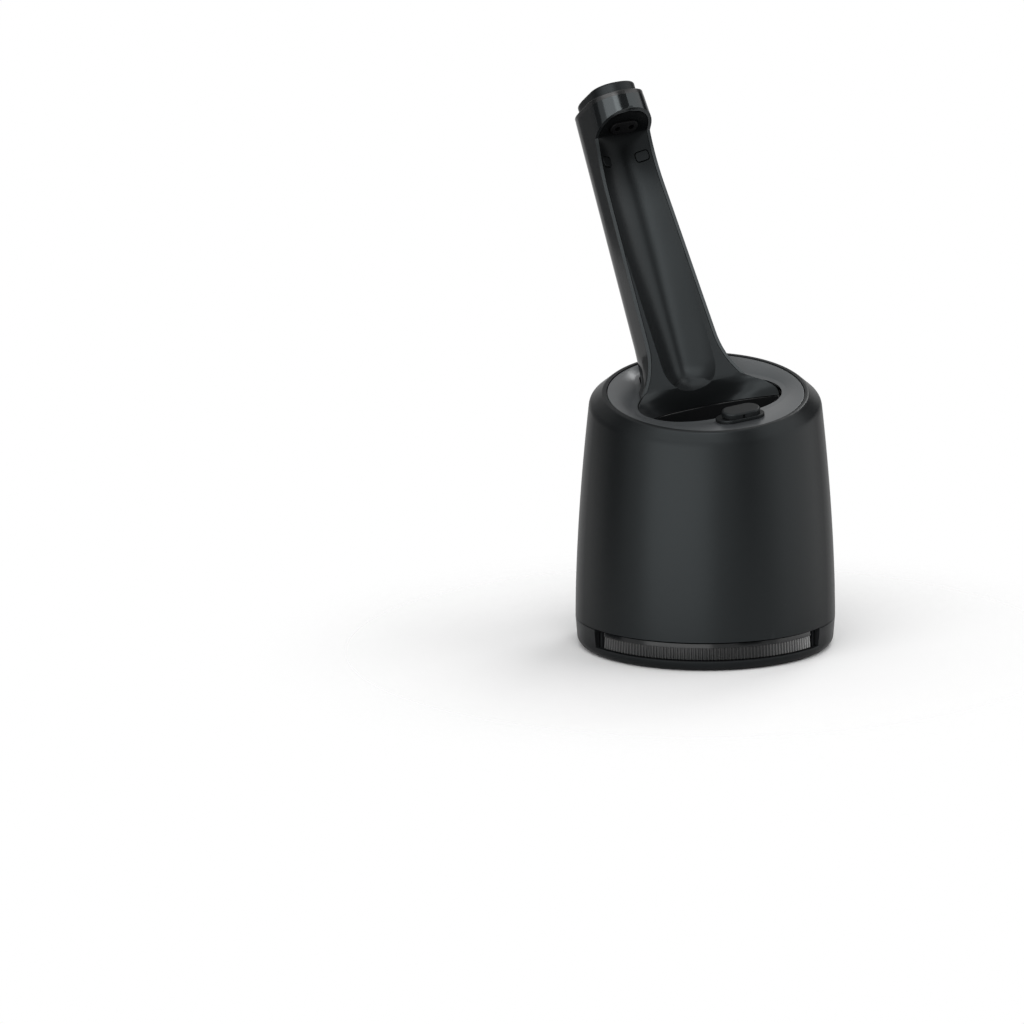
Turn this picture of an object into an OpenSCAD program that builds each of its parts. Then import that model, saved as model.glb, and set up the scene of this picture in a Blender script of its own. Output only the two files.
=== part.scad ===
// Cleaning station for an electric shaver.
// Millimetres. +Z is up and the origin is the middle of the base on the table. The front, with the cartridge
// window, faces -Y. The top leans toward the front, and the arm that stands on it is turned to the right.
// Tilted pieces use two frames: "top" (z square to the plate, -y toward the shaver's side) and
// "arm" (z along the arm, -y toward its front, origin on the arm's front face at the plate).

/* [Base] */
// Radius of the base and of the housing's lower edge
base_r = 55; // [53:0.5:60]
// Height of the base, up to the seam under the housing
base_h = 12; // [11:0.25:15]
// Thickness of the base's floor
base_floor = 3; // [2.5:0.25:4]
// Thickness of the base's wall
base_wall = 2.4; // [1.6:0.2:3]
// Radius of the base's rounded lower edge
base_edge_r = 4; // [2:0.5:5]
// How far the base's wall leans in between the seam and the rounded edge
base_draft = 0.6; // [0:0.1:1]
// Half of the angle that the front window takes
window_half = 58; // [50:1:70]
// Height of the lip under the window
window_sill = 4.4; // [4:0.1:5]
// Radius of a foot
foot_r = 5; // [3:0.5:7]
// Thickness of a foot, let into the floor
foot_h = 1.5; // [1:0.1:2]
// Distance of the feet's middles from the base's edge
foot_inset = 12; // [11:0.5:19]

/* [Cartridge] */
// How far the cartridge's round front stands in from the base's edge
cart_inset = 5.7; // [5.5:0.1:9]
// How far its flat sides stand out past the ends of the ribbed skirt
cart_side_gap = 0.15; // [0.1:0.05:1]
// How far its flat back stands in from the base's edge
cart_back_inset = 35; // [35:0.5:41]
// Height of the tank
cart_h = 43; // [30:0.5:43]
// Wall of the tank
cart_wall = 1.5; // [1:0.1:2.5]
// Thickness of the cartridge's lid
lid_t = 2.4; // [1.5:0.1:3]
// How far the ribbed skirt that the window shows stands in from the base's edge
skirt_inset = 1.7; // [1.5:0.1:3.5]
// Height of the skirt
skirt_h = 6.8; // [5:0.1:7]
// Angle between each end of the skirt and the end of the window
skirt_end = 4.5; // [3:0.5:18]
// Pitch of the skirt's ribs, in degrees
rib_step = 1.6; // [1.2:0.1:4]
// Depth of the grooves between the ribs
rib_depth = 0.45; // [0.2:0.05:0.8]
// Radius of the two ports in the lid
port_r = 6.5; // [6.2:0.1:7]

/* [Housing] */
// Wall of the housing
housing_wall = 2.2; // [1.6:0.1:3]
// Gap of the seam between housing and base
seam_gap = 0.3; // [0.2:0.05:0.6]
// Radius of the wall 100 above the seam
wall_top_r = 47.7; // [47:0.1:50]
// How strongly the wall is bowed; 1 is a straight cone
wall_bow = 1.7; // [1.2:0.1:2.2]
// Height of the shoulder's edge at the sides
shoulder_h = 103.5; // [102:0.25:105]
// Tilt of the shoulder's edge toward the front
shoulder_tilt = 12.5; // [11:0.25:14]
// Length of the rounding at the shoulder's edge
shoulder_round = 1.6; // [1:0.2:5]
// How far the housing rises when it is released
lift_travel = 48; // [46.5:0.5:52]

/* [Top] */
// Outer radius of the rim round the plate
rim_r = 43; // [42.5:0.1:43.5]
// Width of the rim
rim_w = 1.7; // [1.2:0.1:2]
// Height of the rim's middle
rim_h = 108.4; // [107.5:0.1:109.5]
// How far the rim's middle lies in front of the base's
rim_shift = 6.7; // [6:0.1:7.2]
// Tilt of the top toward the front
top_tilt = 14.2; // [13:0.1:15.5]
// Thickness of the plate
plate_t = 1.8; // [1.4:0.1:2.2]
// How far the plate sinks from its edge to the basin's opening
plate_drop = 2.2; // [1.5:0.1:2.6]
// Clearance between pieces that are set into each other
fit_gap = 0.25; // [0.15:0.05:0.3]
// Depth of the basin's floor under the rim
basin_depth = 26; // [22:0.5:27]
// Wall of the basin
basin_wall = 1.8; // [1.4:0.1:2.2]
// Radius of the drain
drain_r = 4; // [3:0.25:4.5]

/* [Arm] */
// Turn of the arm to the right of the front
arm_turn = 28; // [24:0.5:32]
// Lean of the arm away from its front, measured from the plate's normal
arm_lean = 36.5; // [34:0.5:39]
// How far behind the plate's middle the arm's front face starts
arm_back = 9.8; // [9.5:0.1:10.5]
// Half of the arm's width at its foot, without the flare
arm_foot_w = 17.8; // [17:0.1:18]
// Half of the arm's width at the hood
arm_head_w = 12.6; // [12:0.1:13]
// Depth of the arm from front to back, at its foot
arm_depth = 22; // [20:0.25:22.5]
// Depth of the arm from front to back, at the hood
arm_head_depth = 20; // [14:0.25:22]
// Wall of the arm
arm_wall = 1.5; // [1.2:0.1:1.8]
// How far each side flares out at the foot
arm_flare = 6.3; // [5:0.1:7]
// Length of the flared stretch
flare_h = 20; // [16:1:28]
// Length of the arm from the plate to the top of the hood
hood_h = 124.5; // [122:0.5:128]
// How far the hood reaches forward of the arm's front face
hood_reach = 17; // [16:0.25:18]
// Depth of the tongue-shaped groove at its lower end
groove_foot = 9.5; // [7:0.25:10]
// Depth of the trough under the hood
groove_head = 5; // [4:0.25:6]
// Half of the groove's width at its lower end
groove_w = 12.5; // [11:0.25:13]

/* [Start button] */
// Thickness of the light ring
ring_h = 2; // [1.5:0.1:3]
// How far the cap stands in from the light ring's edge
cap_inset = 2.5; // [2:0.1:3]
// Height of the cap above the light ring
cap_h = 5; // [4:0.1:6]
// Travel of the start button
start_travel = 1.2; // [0.8:0.1:1.5]

/* [Lift] */
// Radius of a guide post
post_r = 4; // [3.8:0.1:4.5]
// Running clearance of a post in its sleeve
post_gap = 0.08; // [0.05:0.01:0.1]
// How far the posts stand in from the base's edge, at the sides
post_side_inset = 24; // [23.5:0.25:25]
// How far the posts stand in from the base's edge, at the back
post_back_inset = 27; // [26.5:0.25:27.5]
// Width of the lift button
lift_button_w = 24; // [22:0.5:26]
// Height of the lift button
lift_button_h = 12; // [11:0.5:12]

/* [Power socket] */
// Width of the socket
socket_w = 17; // [15:0.25:18]
// Height of the socket
socket_h = 12; // [11:0.25:13]
// Radius of a contact pin
pin_r = 1; // [0.8:0.05:1.2]
// Distance between the pins
pin_pitch = 6.5; // [6:0.1:7]

/* [Hidden] */

e = 0.01;
front = -90;

// ---- helpers ----
function mix(a, b, k) = a + (b - a) * k;
function unit(v) = v / norm(v);
function bend(a, b, c, k) = mix(mix(a, b, k), mix(b, c, k), k);
function arc(c, r, from, to, n) = [for (i = [0:n]) let (q = mix(from, to, i / n)) c + r * [cos(q), sin(q)]];
function curve_at(a, b, c, d, k) =
  0.5 * (2 * b + (c - a) * k + (2 * a - 5 * b + 4 * c - d) * k * k + (3 * b - a - 3 * c + d) * k * k * k);
// A smooth closed curve through p, with n points to each stretch
function closed_curve(p, n) =
  let (m = len(p)) [for (i = [0:m - 1]) for (j = [0:n - 1])
    curve_at(p[(i + m - 1) % m], p[i], p[(i + 1) % m], p[(i + 2) % m], j / n)];
// A smooth open curve through p
function open_curve(p, n) =
  let (m = len(p)) [
    for (i = [0:m - 2]) for (j = [0:n - 1])
      curve_at(p[max(i - 1, 0)], p[i], p[i + 1], p[min(i + 2, m - 1)], j / n),
    p[m - 1]
  ];
// A closed outline moved to its inside (d > 0) or outside, for points that run counter-clockwise
function inset(p, d) =
  let (m = len(p)) [for (i = [0:m - 1])
    let (t = unit(p[(i + 1) % m] - p[(i + m - 1) % m])) p[i] + d * [-t.y, t.x]];

// A curved wall between two grids of points of one size; the face that shows has its rows going up and its
// columns going to the right. wrap closes the last column to the first.
module curved_wall(face, back, wrap = false) {
  rows = len(face);
  cols = len(face[0]);
  n = rows * cols;
  last = wrap ? cols - 1 : cols - 2;
  quads = [
    for (r = [0:rows - 2]) for (c = [0:last])
      let (d = (c + 1) % cols) [r * cols + c, (r + 1) * cols + c, (r + 1) * cols + d, r * cols + d],
    for (r = [0:rows - 2]) for (c = [0:last])
      let (d = (c + 1) % cols, a = n + r * cols, b = a + cols) [a + d, b + d, b + c, a + c],
    for (c = [0:last]) let (d = (c + 1) % cols) [c, d, n + d, n + c],
    for (c = [0:last]) let (d = (c + 1) % cols, t = (rows - 1) * cols) [t + d, t + c, n + t + c, n + t + d],
    if (!wrap) for (r = [0:rows - 2])
      [(r + 1) * cols, r * cols, n + r * cols, n + (r + 1) * cols],
    if (!wrap) for (r = [0:rows - 2])
      let (a = r * cols + cols - 1, b = a + cols) [a, b, n + b, n + a]
  ];
  faces = [for (q = quads) each [[q[0], q[1], q[2]], [q[0], q[2], q[3]]]];
  polyhedron([for (g = [face, back]) for (row = g) each row], faces);
}

// A round tube swept along points; side is a direction that the path never takes
module swept(path, r, sides, side = [0.3, 0.2, 1]) {
  m = len(path);
  points = [for (i = [0:m - 1])
    let (d = unit(path[min(i + 1, m - 1)] - path[max(i - 1, 0)]), u = unit(cross(side, d)), v = cross(d, u))
      for (j = [0:sides - 1]) path[i] + r * (cos(360 * j / sides) * u + sin(360 * j / sides) * v)];
  quads = [for (i = [0:m - 2]) for (j = [0:sides - 1])
    let (k = (j + 1) % sides) [i * sides + j, (i + 1) * sides + j, (i + 1) * sides + k, i * sides + k]];
  faces = [
    for (q = quads) each [[q[0], q[1], q[2]], [q[0], q[2], q[3]]],
    [for (j = [0:sides - 1]) j],
    [for (j = [sides - 1:-1:0]) (m - 1) * sides + j]
  ];
  polyhedron(points, faces);
}

// A coil of wire on the z axis, with flat-cut ends
module coil(r, wire, length, turns, steps = 10) {
  n = turns * steps;
  swept(
    [for (i = [0:n]) let (q = 360 * i / steps) [r * cos(q), r * sin(q), wire + (length - 2 * wire) * i / n]],
    wire, 4, [0, 0, 1]
  );
}

module stadium(length, width) {
  for (x = [-1, 1]) translate([x * (length - width) / 2, 0]) circle(d = width, $fn = 48);
  square([length - width, width], center = true);
}

module screw(head_r, head_h, shank_r, length) {
  cylinder(r = head_r, h = head_h, $fn = 32);
  translate([0, 0, head_h - e]) cylinder(r = shank_r, h = length + e, $fn = 24);
}

// ---- frames ----
function tilted(x, y, z) =
  [x, y * cos(top_tilt) - z * sin(top_tilt) - rim_shift, y * sin(top_tilt) + z * cos(top_tilt) + rim_h];
function top_to_body(p) =
  tilted(p.x * cos(arm_turn) - p.y * sin(arm_turn), p.x * sin(arm_turn) + p.y * cos(arm_turn), p.z);
function arm_to_top(p) =
  [p.x, arm_back + p.y * cos(arm_lean) + p.z * sin(arm_lean), p.z * cos(arm_lean) - p.y * sin(arm_lean)];

top_normal = top_to_body([0, 0, 1]) - top_to_body([0, 0, 0]);

module on_top() {
  translate([0, -rim_shift, rim_h]) rotate([top_tilt, 0, 0]) rotate([0, 0, arm_turn]) children();
}
module on_arm() {
  on_top() translate([0, arm_back, 0]) rotate([-arm_lean, 0, 0]) children();
}

// ---- base ----
foot_reach = base_r - foot_inset;
cart_r = base_r - cart_inset;
cart_back = base_r - cart_back_inset;
skirt_r = base_r - skirt_inset;
skirt_half = window_half - skirt_end;
cart_half_w = skirt_r * sin(skirt_half) + cart_side_gap;
wall_taper = base_r - wall_top_r;
post_x = base_r - post_side_inset;
post_y = base_r - post_back_inset;
latch_y = base_r - 13;
pump_y = base_r - 24;
base_foot_r = base_r - base_draft - base_edge_r;
post_foot = base_floor;
boss_h = 6;
screw_seat = 0.4;
stop_t = 1.4;
keeper_x = 14;
keeper_y = latch_y - 5;
keeper_w = 3;
keeper_d = 3;
recess_h = base_h - 1;

function base_outline() = [
  [0, 0],
  each arc([base_foot_r, base_edge_r], base_edge_r, front, 0, 8),
  [base_r, base_h],
  [base_r - base_wall, base_h],
  [base_r - base_wall, base_floor],
  [0, base_floor]
];

module sector(half) {
  rotate([0, 0, front - half]) rotate_extrude(angle = 2 * half, $fn = 96) children();
}

module foot_places() {
  for (q = [60, 120, 225, 315]) rotate([0, 0, q]) translate([foot_reach, 0, 0]) children();
}

module post_places() {
  for (s = [-1, 1]) translate([s * post_x, post_y, 0]) children();
}

module base_tray() {
  color("#17181a") difference() {
    union() {
      difference() {
        rotate_extrude($fn = 96) polygon(base_outline());
        sector(window_half) translate([cart_r - 3, window_sill]) square([base_r, base_h]);
      }
      // end walls of the window's dark recesses, and keepers for the latch
      for (s = [-1, 1]) {
        rotate([0, 0, s * (window_half - stop_t)])
          translate([-stop_t / 2, -base_r + base_wall - e, base_floor - e])
            cube([stop_t, base_r - base_wall - cart_r - 0.5, recess_h - base_floor]);
        translate([s * keeper_x - keeper_w / 2, keeper_y - keeper_d, base_floor - e])
          cube([keeper_w, keeper_d, base_h - base_floor - 1]);
      }
      post_places() cylinder(r = post_r + 2.2, h = base_floor + boss_h, $fn = 48);
    }
    foot_places() translate([0, 0, -e]) cylinder(r = foot_r + fit_gap, h = foot_h + e, $fn = 48);
    post_places() {
      translate([0, 0, post_foot]) cylinder(r = post_r + 0.02, h = boss_h + 1, $fn = 48);
      translate([0, 0, -1]) cylinder(r = 3.2, h = screw_seat + 1.2 + 1, $fn = 32);
      translate([0, 0, -e]) cylinder(r = 1.6, h = base_floor + 1, $fn = 24);
    }
  }
}

module rubber_feet() {
  color("#0e0e0f") foot_places() difference() {
    cylinder(r = foot_r, h = foot_h, $fn = 48);
    translate([0, 0, -e]) cylinder(r = foot_r - 2.5, h = 0.5, $fn = 32);
  }
}

post_top = base_floor + lift_travel + 27;
post_bore_r = post_r - 1.2;
spring_foot = base_floor + 5;
sleeve_foot = base_h + 2;
sleeve_r = post_r + 2.3;
sleeve_cap = post_top + 2;

module guide_posts() {
  color("#9a9da0") post_places() difference() {
    translate([0, 0, post_foot]) cylinder(r = post_r, h = post_top - post_foot, $fn = 48);
    translate([0, 0, spring_foot]) cylinder(r = post_bore_r, h = post_top, $fn = 48);
    translate([0, 0, post_foot - e]) cylinder(r = 1.28, h = spring_foot - post_foot - 0.8, $fn = 24);
  }
}

module base_screws() {
  color("#8d9194") post_places() translate([0, 0, screw_seat]) screw(3, 1.2, 1.25, spring_foot - 2.6);
}

module lift_springs() {
  color("#b9bdc1") post_places()
    translate([0, 0, spring_foot]) coil(post_bore_r - 0.8, 0.45, sleeve_cap - spring_foot, 9);
}

// ---- cartridge ----
cart_foot = base_floor + 0.3;
cart_top = cart_foot + cart_h + lid_t;
port_rise = 0.6;
skirt_foot = window_sill + 0.35;
drain_at = top_to_body([0, -6, -basin_depth - 0.5]);
intake_x = -15;
intake_y = 4;

module cart_plan(shrink = 0) {
  intersection() {
    circle(r = cart_r - shrink, $fn = 96);
    translate([-cart_half_w + shrink, -cart_r])
      square([2 * (cart_half_w - shrink), cart_r + cart_back - shrink]);
  }
}

// Toothed outline of the skirt
function skirt_outline() =
  let (n = floor(skirt_half / rib_step)) concat(
    [for (i = [-n:n]) for (k = [-0.5, -0.22, 0, 0.22])
      let (q = front + (i + k) * rib_step, r = k == 0 || k == 0.22 ? skirt_r : skirt_r - rib_depth)
        r * [cos(q), sin(q)]],
    [for (i = [12:-1:-12]) let (q = front + skirt_half * i / 12) (cart_r - 0.7) * [cos(q), sin(q)]]
  );

module cartridge_tank() {
  color("#4a4e52", 0.7) {
    difference() {
      translate([0, 0, cart_foot]) linear_extrude(cart_h) cart_plan();
      translate([0, 0, cart_foot + cart_wall]) linear_extrude(cart_h) cart_plan(cart_wall);
    }
    // ribbed skirt, with a plain strip along its top
    translate([0, 0, skirt_foot]) linear_extrude(skirt_h * 0.72) polygon(skirt_outline());
    translate([0, 0, skirt_foot + skirt_h * 0.72 - e])
      sector(skirt_half) translate([cart_r - 0.7, 0]) square([skirt_r - cart_r + 0.6, skirt_h * 0.28]);
  }
}

module lid_ports(grow = 0) {
  for (p = [[drain_at.x, drain_at.y], [intake_x, intake_y]])
    translate(p) circle(r = port_r + grow, $fn = 48);
}

module cartridge_lid() {
  color("#2b2d30", 0.9) difference() {
    union() {
      translate([0, 0, cart_foot + cart_h]) linear_extrude(lid_t) cart_plan();
      translate([0, 0, cart_foot + cart_h - 2]) linear_extrude(2 + e) cart_plan(cart_wall + 0.1);
      translate([0, 0, cart_foot + cart_h]) linear_extrude(lid_t + port_rise) lid_ports(1.5);
    }
    translate([0, 0, cart_foot + cart_h - 3]) linear_extrude(lid_t + 6) lid_ports();
    translate([0, 0, cart_foot + cart_h - 3]) linear_extrude(3) cart_plan(cart_wall + 2.5);
  }
}

// ---- housing ----
shell_foot = base_h + seam_gap;
function wall_r(z) = base_r - wall_taper * pow(max(0, z - base_h) / 100, wall_bow);
function wall_point(q, z, d) = let (r = wall_r(z) - d) [r * cos(q), r * sin(q), z];
function rim_point(q, r, z) = tilted(r * cos(q), r * sin(q), z);
function shoulder_z(q) = shoulder_h + tan(shoulder_tilt) * wall_r(shoulder_h) * sin(q);
wall_rows = 7;
round_rows = 4;
rim_lip = 4;

function shell_face(q) =
  let (
    z = shoulder_z(q),
    a = wall_point(q, z - shoulder_round, 0),
    b = wall_point(q, z, 0),
    rim = rim_point(q, rim_r, 0),
    c = b + shoulder_round * unit(rim - b)
  ) [
    for (i = [0:wall_rows - 1]) wall_point(q, mix(shell_foot, z - shoulder_round, i / wall_rows), 0),
    for (i = [0:round_rows]) bend(a, b, c, i / round_rows),
    rim - 0.7 * unit(rim - b),
    rim_point(q, rim_r - 0.45, 0.05),
    rim_point(q, rim_r - rim_w, 0)
  ];
function shell_back(q) =
  let (
    z = shoulder_z(q) - housing_wall,
    a = wall_point(q, z - shoulder_round, housing_wall),
    b = wall_point(q, z, housing_wall),
    rim = rim_point(q, rim_r - rim_w, -rim_lip),
    c = mix(b, rim, 0.4)
  ) [
    for (i = [0:wall_rows - 1])
      wall_point(q, mix(shell_foot, z - shoulder_round, i / wall_rows), housing_wall),
    for (i = [0:round_rows]) bend(a, b, c, i / round_rows),
    mix(c, rim, 0.4),
    mix(c, rim, 0.75),
    rim
  ];
// Grids go round in columns; this turns columns into rows
function rows_of(columns) = [for (r = [0:len(columns[0]) - 1]) [for (c = columns) c[r]]];

socket_z = 23;
button_z = 48;
socket_back = base_r - 15;

module button_window(grow) {
  translate([-lift_button_w / 2 - grow, socket_back, button_z - lift_button_h / 2 - grow])
    cube([lift_button_w + 2 * grow, base_r, lift_button_h + 2 * grow]);
}

module housing_shell() {
  color("#2b2d2f") difference() {
    curved_wall(
      rows_of([for (q = [0:6:354]) shell_face(q)]),
      rows_of([for (q = [0:6:354]) shell_back(q)]), true
    );
    button_window(fit_gap + 0.05);
    translate([-socket_w / 2, socket_back, socket_z - socket_h / 2]) cube([socket_w, base_r, socket_h]);
  }
}

// ---- plate and basin, in the top's frame ----
plate_r = rim_r - rim_w - fit_gap;
// Right half of the basin's opening, from its front to the arm's back
opening_half = [
  [8, -23.4], [16, -22.2], [24, -18.9], [29.5, -14], [32.6, -8], [33.2, -2.5], [31.6, 3], [28.3, 8],
  [24.4, 12.2], [21.3, 16.6], [19.2, 21.8], [17.6, 27], [14.9, 32.2], [9.2, 36.2]
];
opening_front = -23.6;
opening_rear = 37.9;
opening_points = concat(
  [[0, opening_front]], opening_half, [[0, opening_rear]],
  [for (i = [len(opening_half) - 1:-1:0]) [-opening_half[i].x, opening_half[i].y]]
);
opening = closed_curve(opening_points, 2);
lip_h = 3;

function plate_z(k) = -0.35 - plate_drop * pow(k, 1.5);
function plate_rows(d, rise) =
  let (edge = [for (p = opening) plate_r * unit(p)]) [
    for (k = [0, 0.3, 0.6, 0.85, 0.97]) [for (i = [0:len(opening) - 1])
      let (p = mix(edge[i], opening[i], k)) [p.x, p.y, plate_z(k) - rise]],
    [for (p = inset(opening, -d)) [p.x, p.y, plate_z(1) - rise - 0.35]],
    [for (p = inset(opening, -d)) [p.x, p.y, plate_z(1) - lip_h]]
  ];

module top_plate() {
  color("#6b6e71") on_top() difference() {
    curved_wall(plate_rows(0, 0), plate_rows(1.4, plate_t), true);
    translate([spout_x, spout_pipe_y, -lip_h - plate_drop])
      cylinder(r = spout_nozzle_r + fit_gap, h = 10, $fn = 32);
  }
}

// Lower edge of the arm's apron, which is the basin's rear edge
apron_w = 31;
function apron_edge(x) = let (k = pow(abs(x / apron_w), 3)) [x, 11 - 19 * k, -12 + 7 * k];
basin_gap = 0.4;
front_part = [for (p = inset(opening, basin_gap + basin_wall)) if (p.y < -8) p];
// The rim runs counter-clockwise: front half along the opening, rear half along the apron's lower edge
front_left = [for (p = front_part) if (p.x < -0.01) [p.x, p.y, -5]];
front_right = [for (p = front_part) if (p.x > -0.01) [p.x, p.y, -5]];
rear_part = [for (x = [29.5:-4:-30]) let (p = apron_edge(x)) [p.x, p.y - 0.2, p.z - 0.3]];
basin_top = concat(front_left, front_right, rear_part);
basin_mid = [0, -5];
floor_z = -basin_depth;

function basin_row(k, z, d) =
  [for (p = basin_top) let (v = [p.x, p.y] - basin_mid, w = basin_mid + v * (1 + d / norm(v)) * k)
    [w.x, w.y, z == undef ? p.z : mix(p.z, floor_z, z)]];
function basin_rows(d, drop) = [
  basin_row(1, undef, d),
  basin_row(0.985, 0.4, d),
  basin_row(0.94, 0.75, d),
  [for (p = basin_row(0.83, 0.93, d)) [p.x, p.y, p.z - drop * 0.6]],
  [for (p = basin_row(0.6, 1, d)) [p.x, p.y, p.z - drop]],
  [for (p = basin_top) let (w = basin_mid + drain_r * unit([p.x, p.y] - basin_mid))
    [w.x, w.y, floor_z - 0.4 - drop]]
];

module wash_tray() {
  color("#101113") on_top() curved_wall(basin_rows(0, 0), basin_rows(basin_wall, basin_wall), true);
}

module tray_seal() {
  color("#0c0c0d") on_top() curved_wall(
    [for (z = [-lip_h - 2.95, -lip_h - 2.6]) [for (p = inset(opening, -1.2)) [p.x, p.y, z]]],
    [for (z = [-lip_h - 2.95, -lip_h - 2.6]) [for (p = inset(opening, -0.1)) [p.x, p.y, z]]], true
  );
}

pipe_r = drain_r + 1;
pipe_top = drain_at.z - 3.2;

module drain_seal() {
  color("#0c0c0d") translate([drain_at.x, drain_at.y, pipe_top - 3]) difference() {
    cylinder(r = pipe_r + 1.6, h = 3, $fn = 48);
    translate([0, 0, -e]) cylinder(r = pipe_r, h = 4, $fn = 48);
  }
}

module drain_pipe() {
  color("#3a3d40") translate([drain_at.x, drain_at.y, 0]) difference() {
    translate([0, 0, cart_top - 6]) cylinder(r = pipe_r, h = pipe_top - cart_top + 6, $fn = 48);
    translate([0, 0, cart_top - 7]) cylinder(r = pipe_r - 1.2, h = base_r, $fn = 48);
  }
}

// ---- chassis ----
deck_z = 56;
deck_t = 2.5;
deck_top = deck_z + deck_t;
deck_r = wall_r(deck_z) - housing_wall - fit_gap - 0.1;
pump_r = 13;
pump_h = 11;
pump_inlet_r = 3;
lug_turns = [60, 180, 300];
lug_at = pump_r + 2.3;
latch_z = 32;
latch_pin_r = 1.5;
latch_arm_x = 12.5;
latch_arm_w = 3;
latch_gap = 0.4;
ear_x = latch_arm_x + latch_arm_w + latch_gap;
ear_t = 2.5;
board_z = 62;
board_t = 1.6;
post_r_board = 3;
board_half = base_r - 20;
board_front = base_r - 19;
board_rear = 7;
board_posts = [
  [5 - board_half, 16 - board_front], [board_half - 5, 16 - board_front],
  [11 - board_half, board_rear - 3], [board_half - 11, board_rear - 3]
];
chassis_rib_x = base_r - 17;
rib_t = 1.6;
rib_h = 4;

module at_latch() {
  translate([0, latch_y, latch_z]) rotate([0, 90, 0]) children();
}

module inner_chassis() {
  color("#3b3e41") difference() {
    union() {
      translate([0, 0, deck_z]) cylinder(r = deck_r, h = deck_t, $fn = 96);
      post_places() translate([0, 0, sleeve_foot])
        cylinder(r = sleeve_r, h = sleeve_cap + 2 - sleeve_foot, $fn = 48);
      for (s = [-1, 1]) {
        translate([s * (ear_x + ear_t / 2) - ear_t / 2, latch_y - 4, latch_z - 4])
          cube([ear_t, 8, deck_z - latch_z + 4 + e]);
        translate([s * chassis_rib_x - rib_t / 2, -20, deck_top - e]) cube([rib_t, 32, rib_h]);
      }
      for (p = board_posts) translate([p.x, p.y, deck_top - e])
        cylinder(r = post_r_board, h = board_z - deck_top + e, $fn = 32);
    }
    post_places() translate([0, 0, sleeve_foot - 1])
      cylinder(r = post_r + post_gap, h = sleeve_cap - sleeve_foot + 1, $fn = 48);
    translate([drain_at.x, drain_at.y, deck_z - 1]) cylinder(r = pipe_r + fit_gap, h = deck_t + 2, $fn = 48);
    translate([0, pump_y, deck_z - 1]) cylinder(r = pump_inlet_r + fit_gap, h = deck_t + 2, $fn = 32);
    at_latch() translate([0, 0, -base_r]) cylinder(r = latch_pin_r, h = 2 * base_r, $fn = 32);
    for (p = board_posts) translate([p.x, p.y, deck_z - 1]) cylinder(r = 1, h = 20, $fn = 24);
    for (q = lug_turns) translate([0, pump_y, 0]) rotate([0, 0, q]) translate([lug_at, 0, deck_z - 1])
      cylinder(r = 1, h = 10, $fn = 24);
  }
}

module chassis_screws() {
  color("#8d9194") {
    for (p = board_posts) translate([p.x, p.y, board_z + board_t + 1.2 + 0.05]) rotate([180, 0, 0])
      screw(2, 1.2, 1, 5);
    for (q = lug_turns) translate([0, pump_y, 0]) rotate([0, 0, q])
      translate([lug_at, 0, deck_top + 2 + 1.2 + 0.05]) rotate([180, 0, 0]) screw(2, 1.2, 1, 4);
  }
}

// ---- pump ----
shaft_r = 1.5;
shaft_gap = 0.05;
chamber_wall = 1.6;
impeller_r = 10;
impeller_h = 5;
motor_r = 12;
motor_h = 24;
outlet_y = pump_y + 7.5;
outlet_z = deck_top + pump_h / 2;
outlet_end = 15;
motor_foot = deck_top + pump_h + 0.15;

module pump_chamber() {
  color("#44484b") difference() {
    union() {
      translate([0, pump_y, deck_top]) cylinder(r = pump_r, h = pump_h, $fn = 64);
      translate([0, pump_y, deck_z - 1.5]) cylinder(r = pump_inlet_r, h = deck_t + 2, $fn = 32);
      translate([0, outlet_y, outlet_z]) rotate([0, 90, 0]) cylinder(r = 3, h = outlet_end, $fn = 32);
      for (q = lug_turns) translate([0, pump_y, deck_top]) rotate([0, 0, q])
        translate([lug_at, 0, 0]) cylinder(r = 2.6, h = 2, $fn = 32);
    }
    translate([0, pump_y, deck_top + chamber_wall])
      cylinder(r = pump_r - chamber_wall, h = pump_h - 2 * chamber_wall, $fn = 64);
    translate([0, pump_y, deck_z - 3]) cylinder(r = pump_inlet_r - 1, h = 8, $fn = 32);
    translate([0, pump_y, deck_top + pump_h - chamber_wall - 1])
      cylinder(r = shaft_r + shaft_gap, h = 4, $fn = 32);
    translate([5, outlet_y, outlet_z]) rotate([0, 90, 0]) cylinder(r = 2, h = base_r, $fn = 32);
    for (q = lug_turns) translate([0, pump_y, deck_top]) rotate([0, 0, q])
      translate([lug_at, 0, -1]) cylinder(r = 1.05, h = 5, $fn = 24);
  }
}

module pump_motor() {
  color("#9ea2a5") translate([0, pump_y, motor_foot]) difference() {
    union() {
      cylinder(r = motor_r, h = motor_h, $fn = 64);
      translate([0, 0, motor_h - e]) cylinder(r = 4, h = 2, $fn = 32);
      for (s = [-1, 1]) translate([s * 6, 4, motor_h - e]) cylinder(r = 1, h = 3, $fn = 16);
    }
    translate([0, 0, -1]) cylinder(r = shaft_r + shaft_gap, h = motor_h, $fn = 32);
  }
}

module pump_rotor() {
  hub_z = deck_top + chamber_wall + 0.8;
  color("#c9ccce") translate([0, pump_y, 0]) {
    translate([0, 0, hub_z]) cylinder(r = shaft_r, h = motor_foot + motor_h - 4 - hub_z, $fn = 32);
    translate([0, 0, hub_z]) cylinder(r = impeller_r, h = 1, $fn = 64);
    translate([0, 0, hub_z + e]) cylinder(r = 3.5, h = impeller_h, $fn = 32);
    for (q = [0:60:300]) rotate([0, 0, q]) translate([2.5, -0.5, hub_z + e])
      cube([impeller_r - 3, 1, impeller_h]);
  }
}

elbow_z = deck_z - 4.15;
intake_r = 2.2;

intake_bore_r = 1.5;
run_r = intake_r + 0.3;
run_bore_r = intake_bore_r + 0.2;

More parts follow.
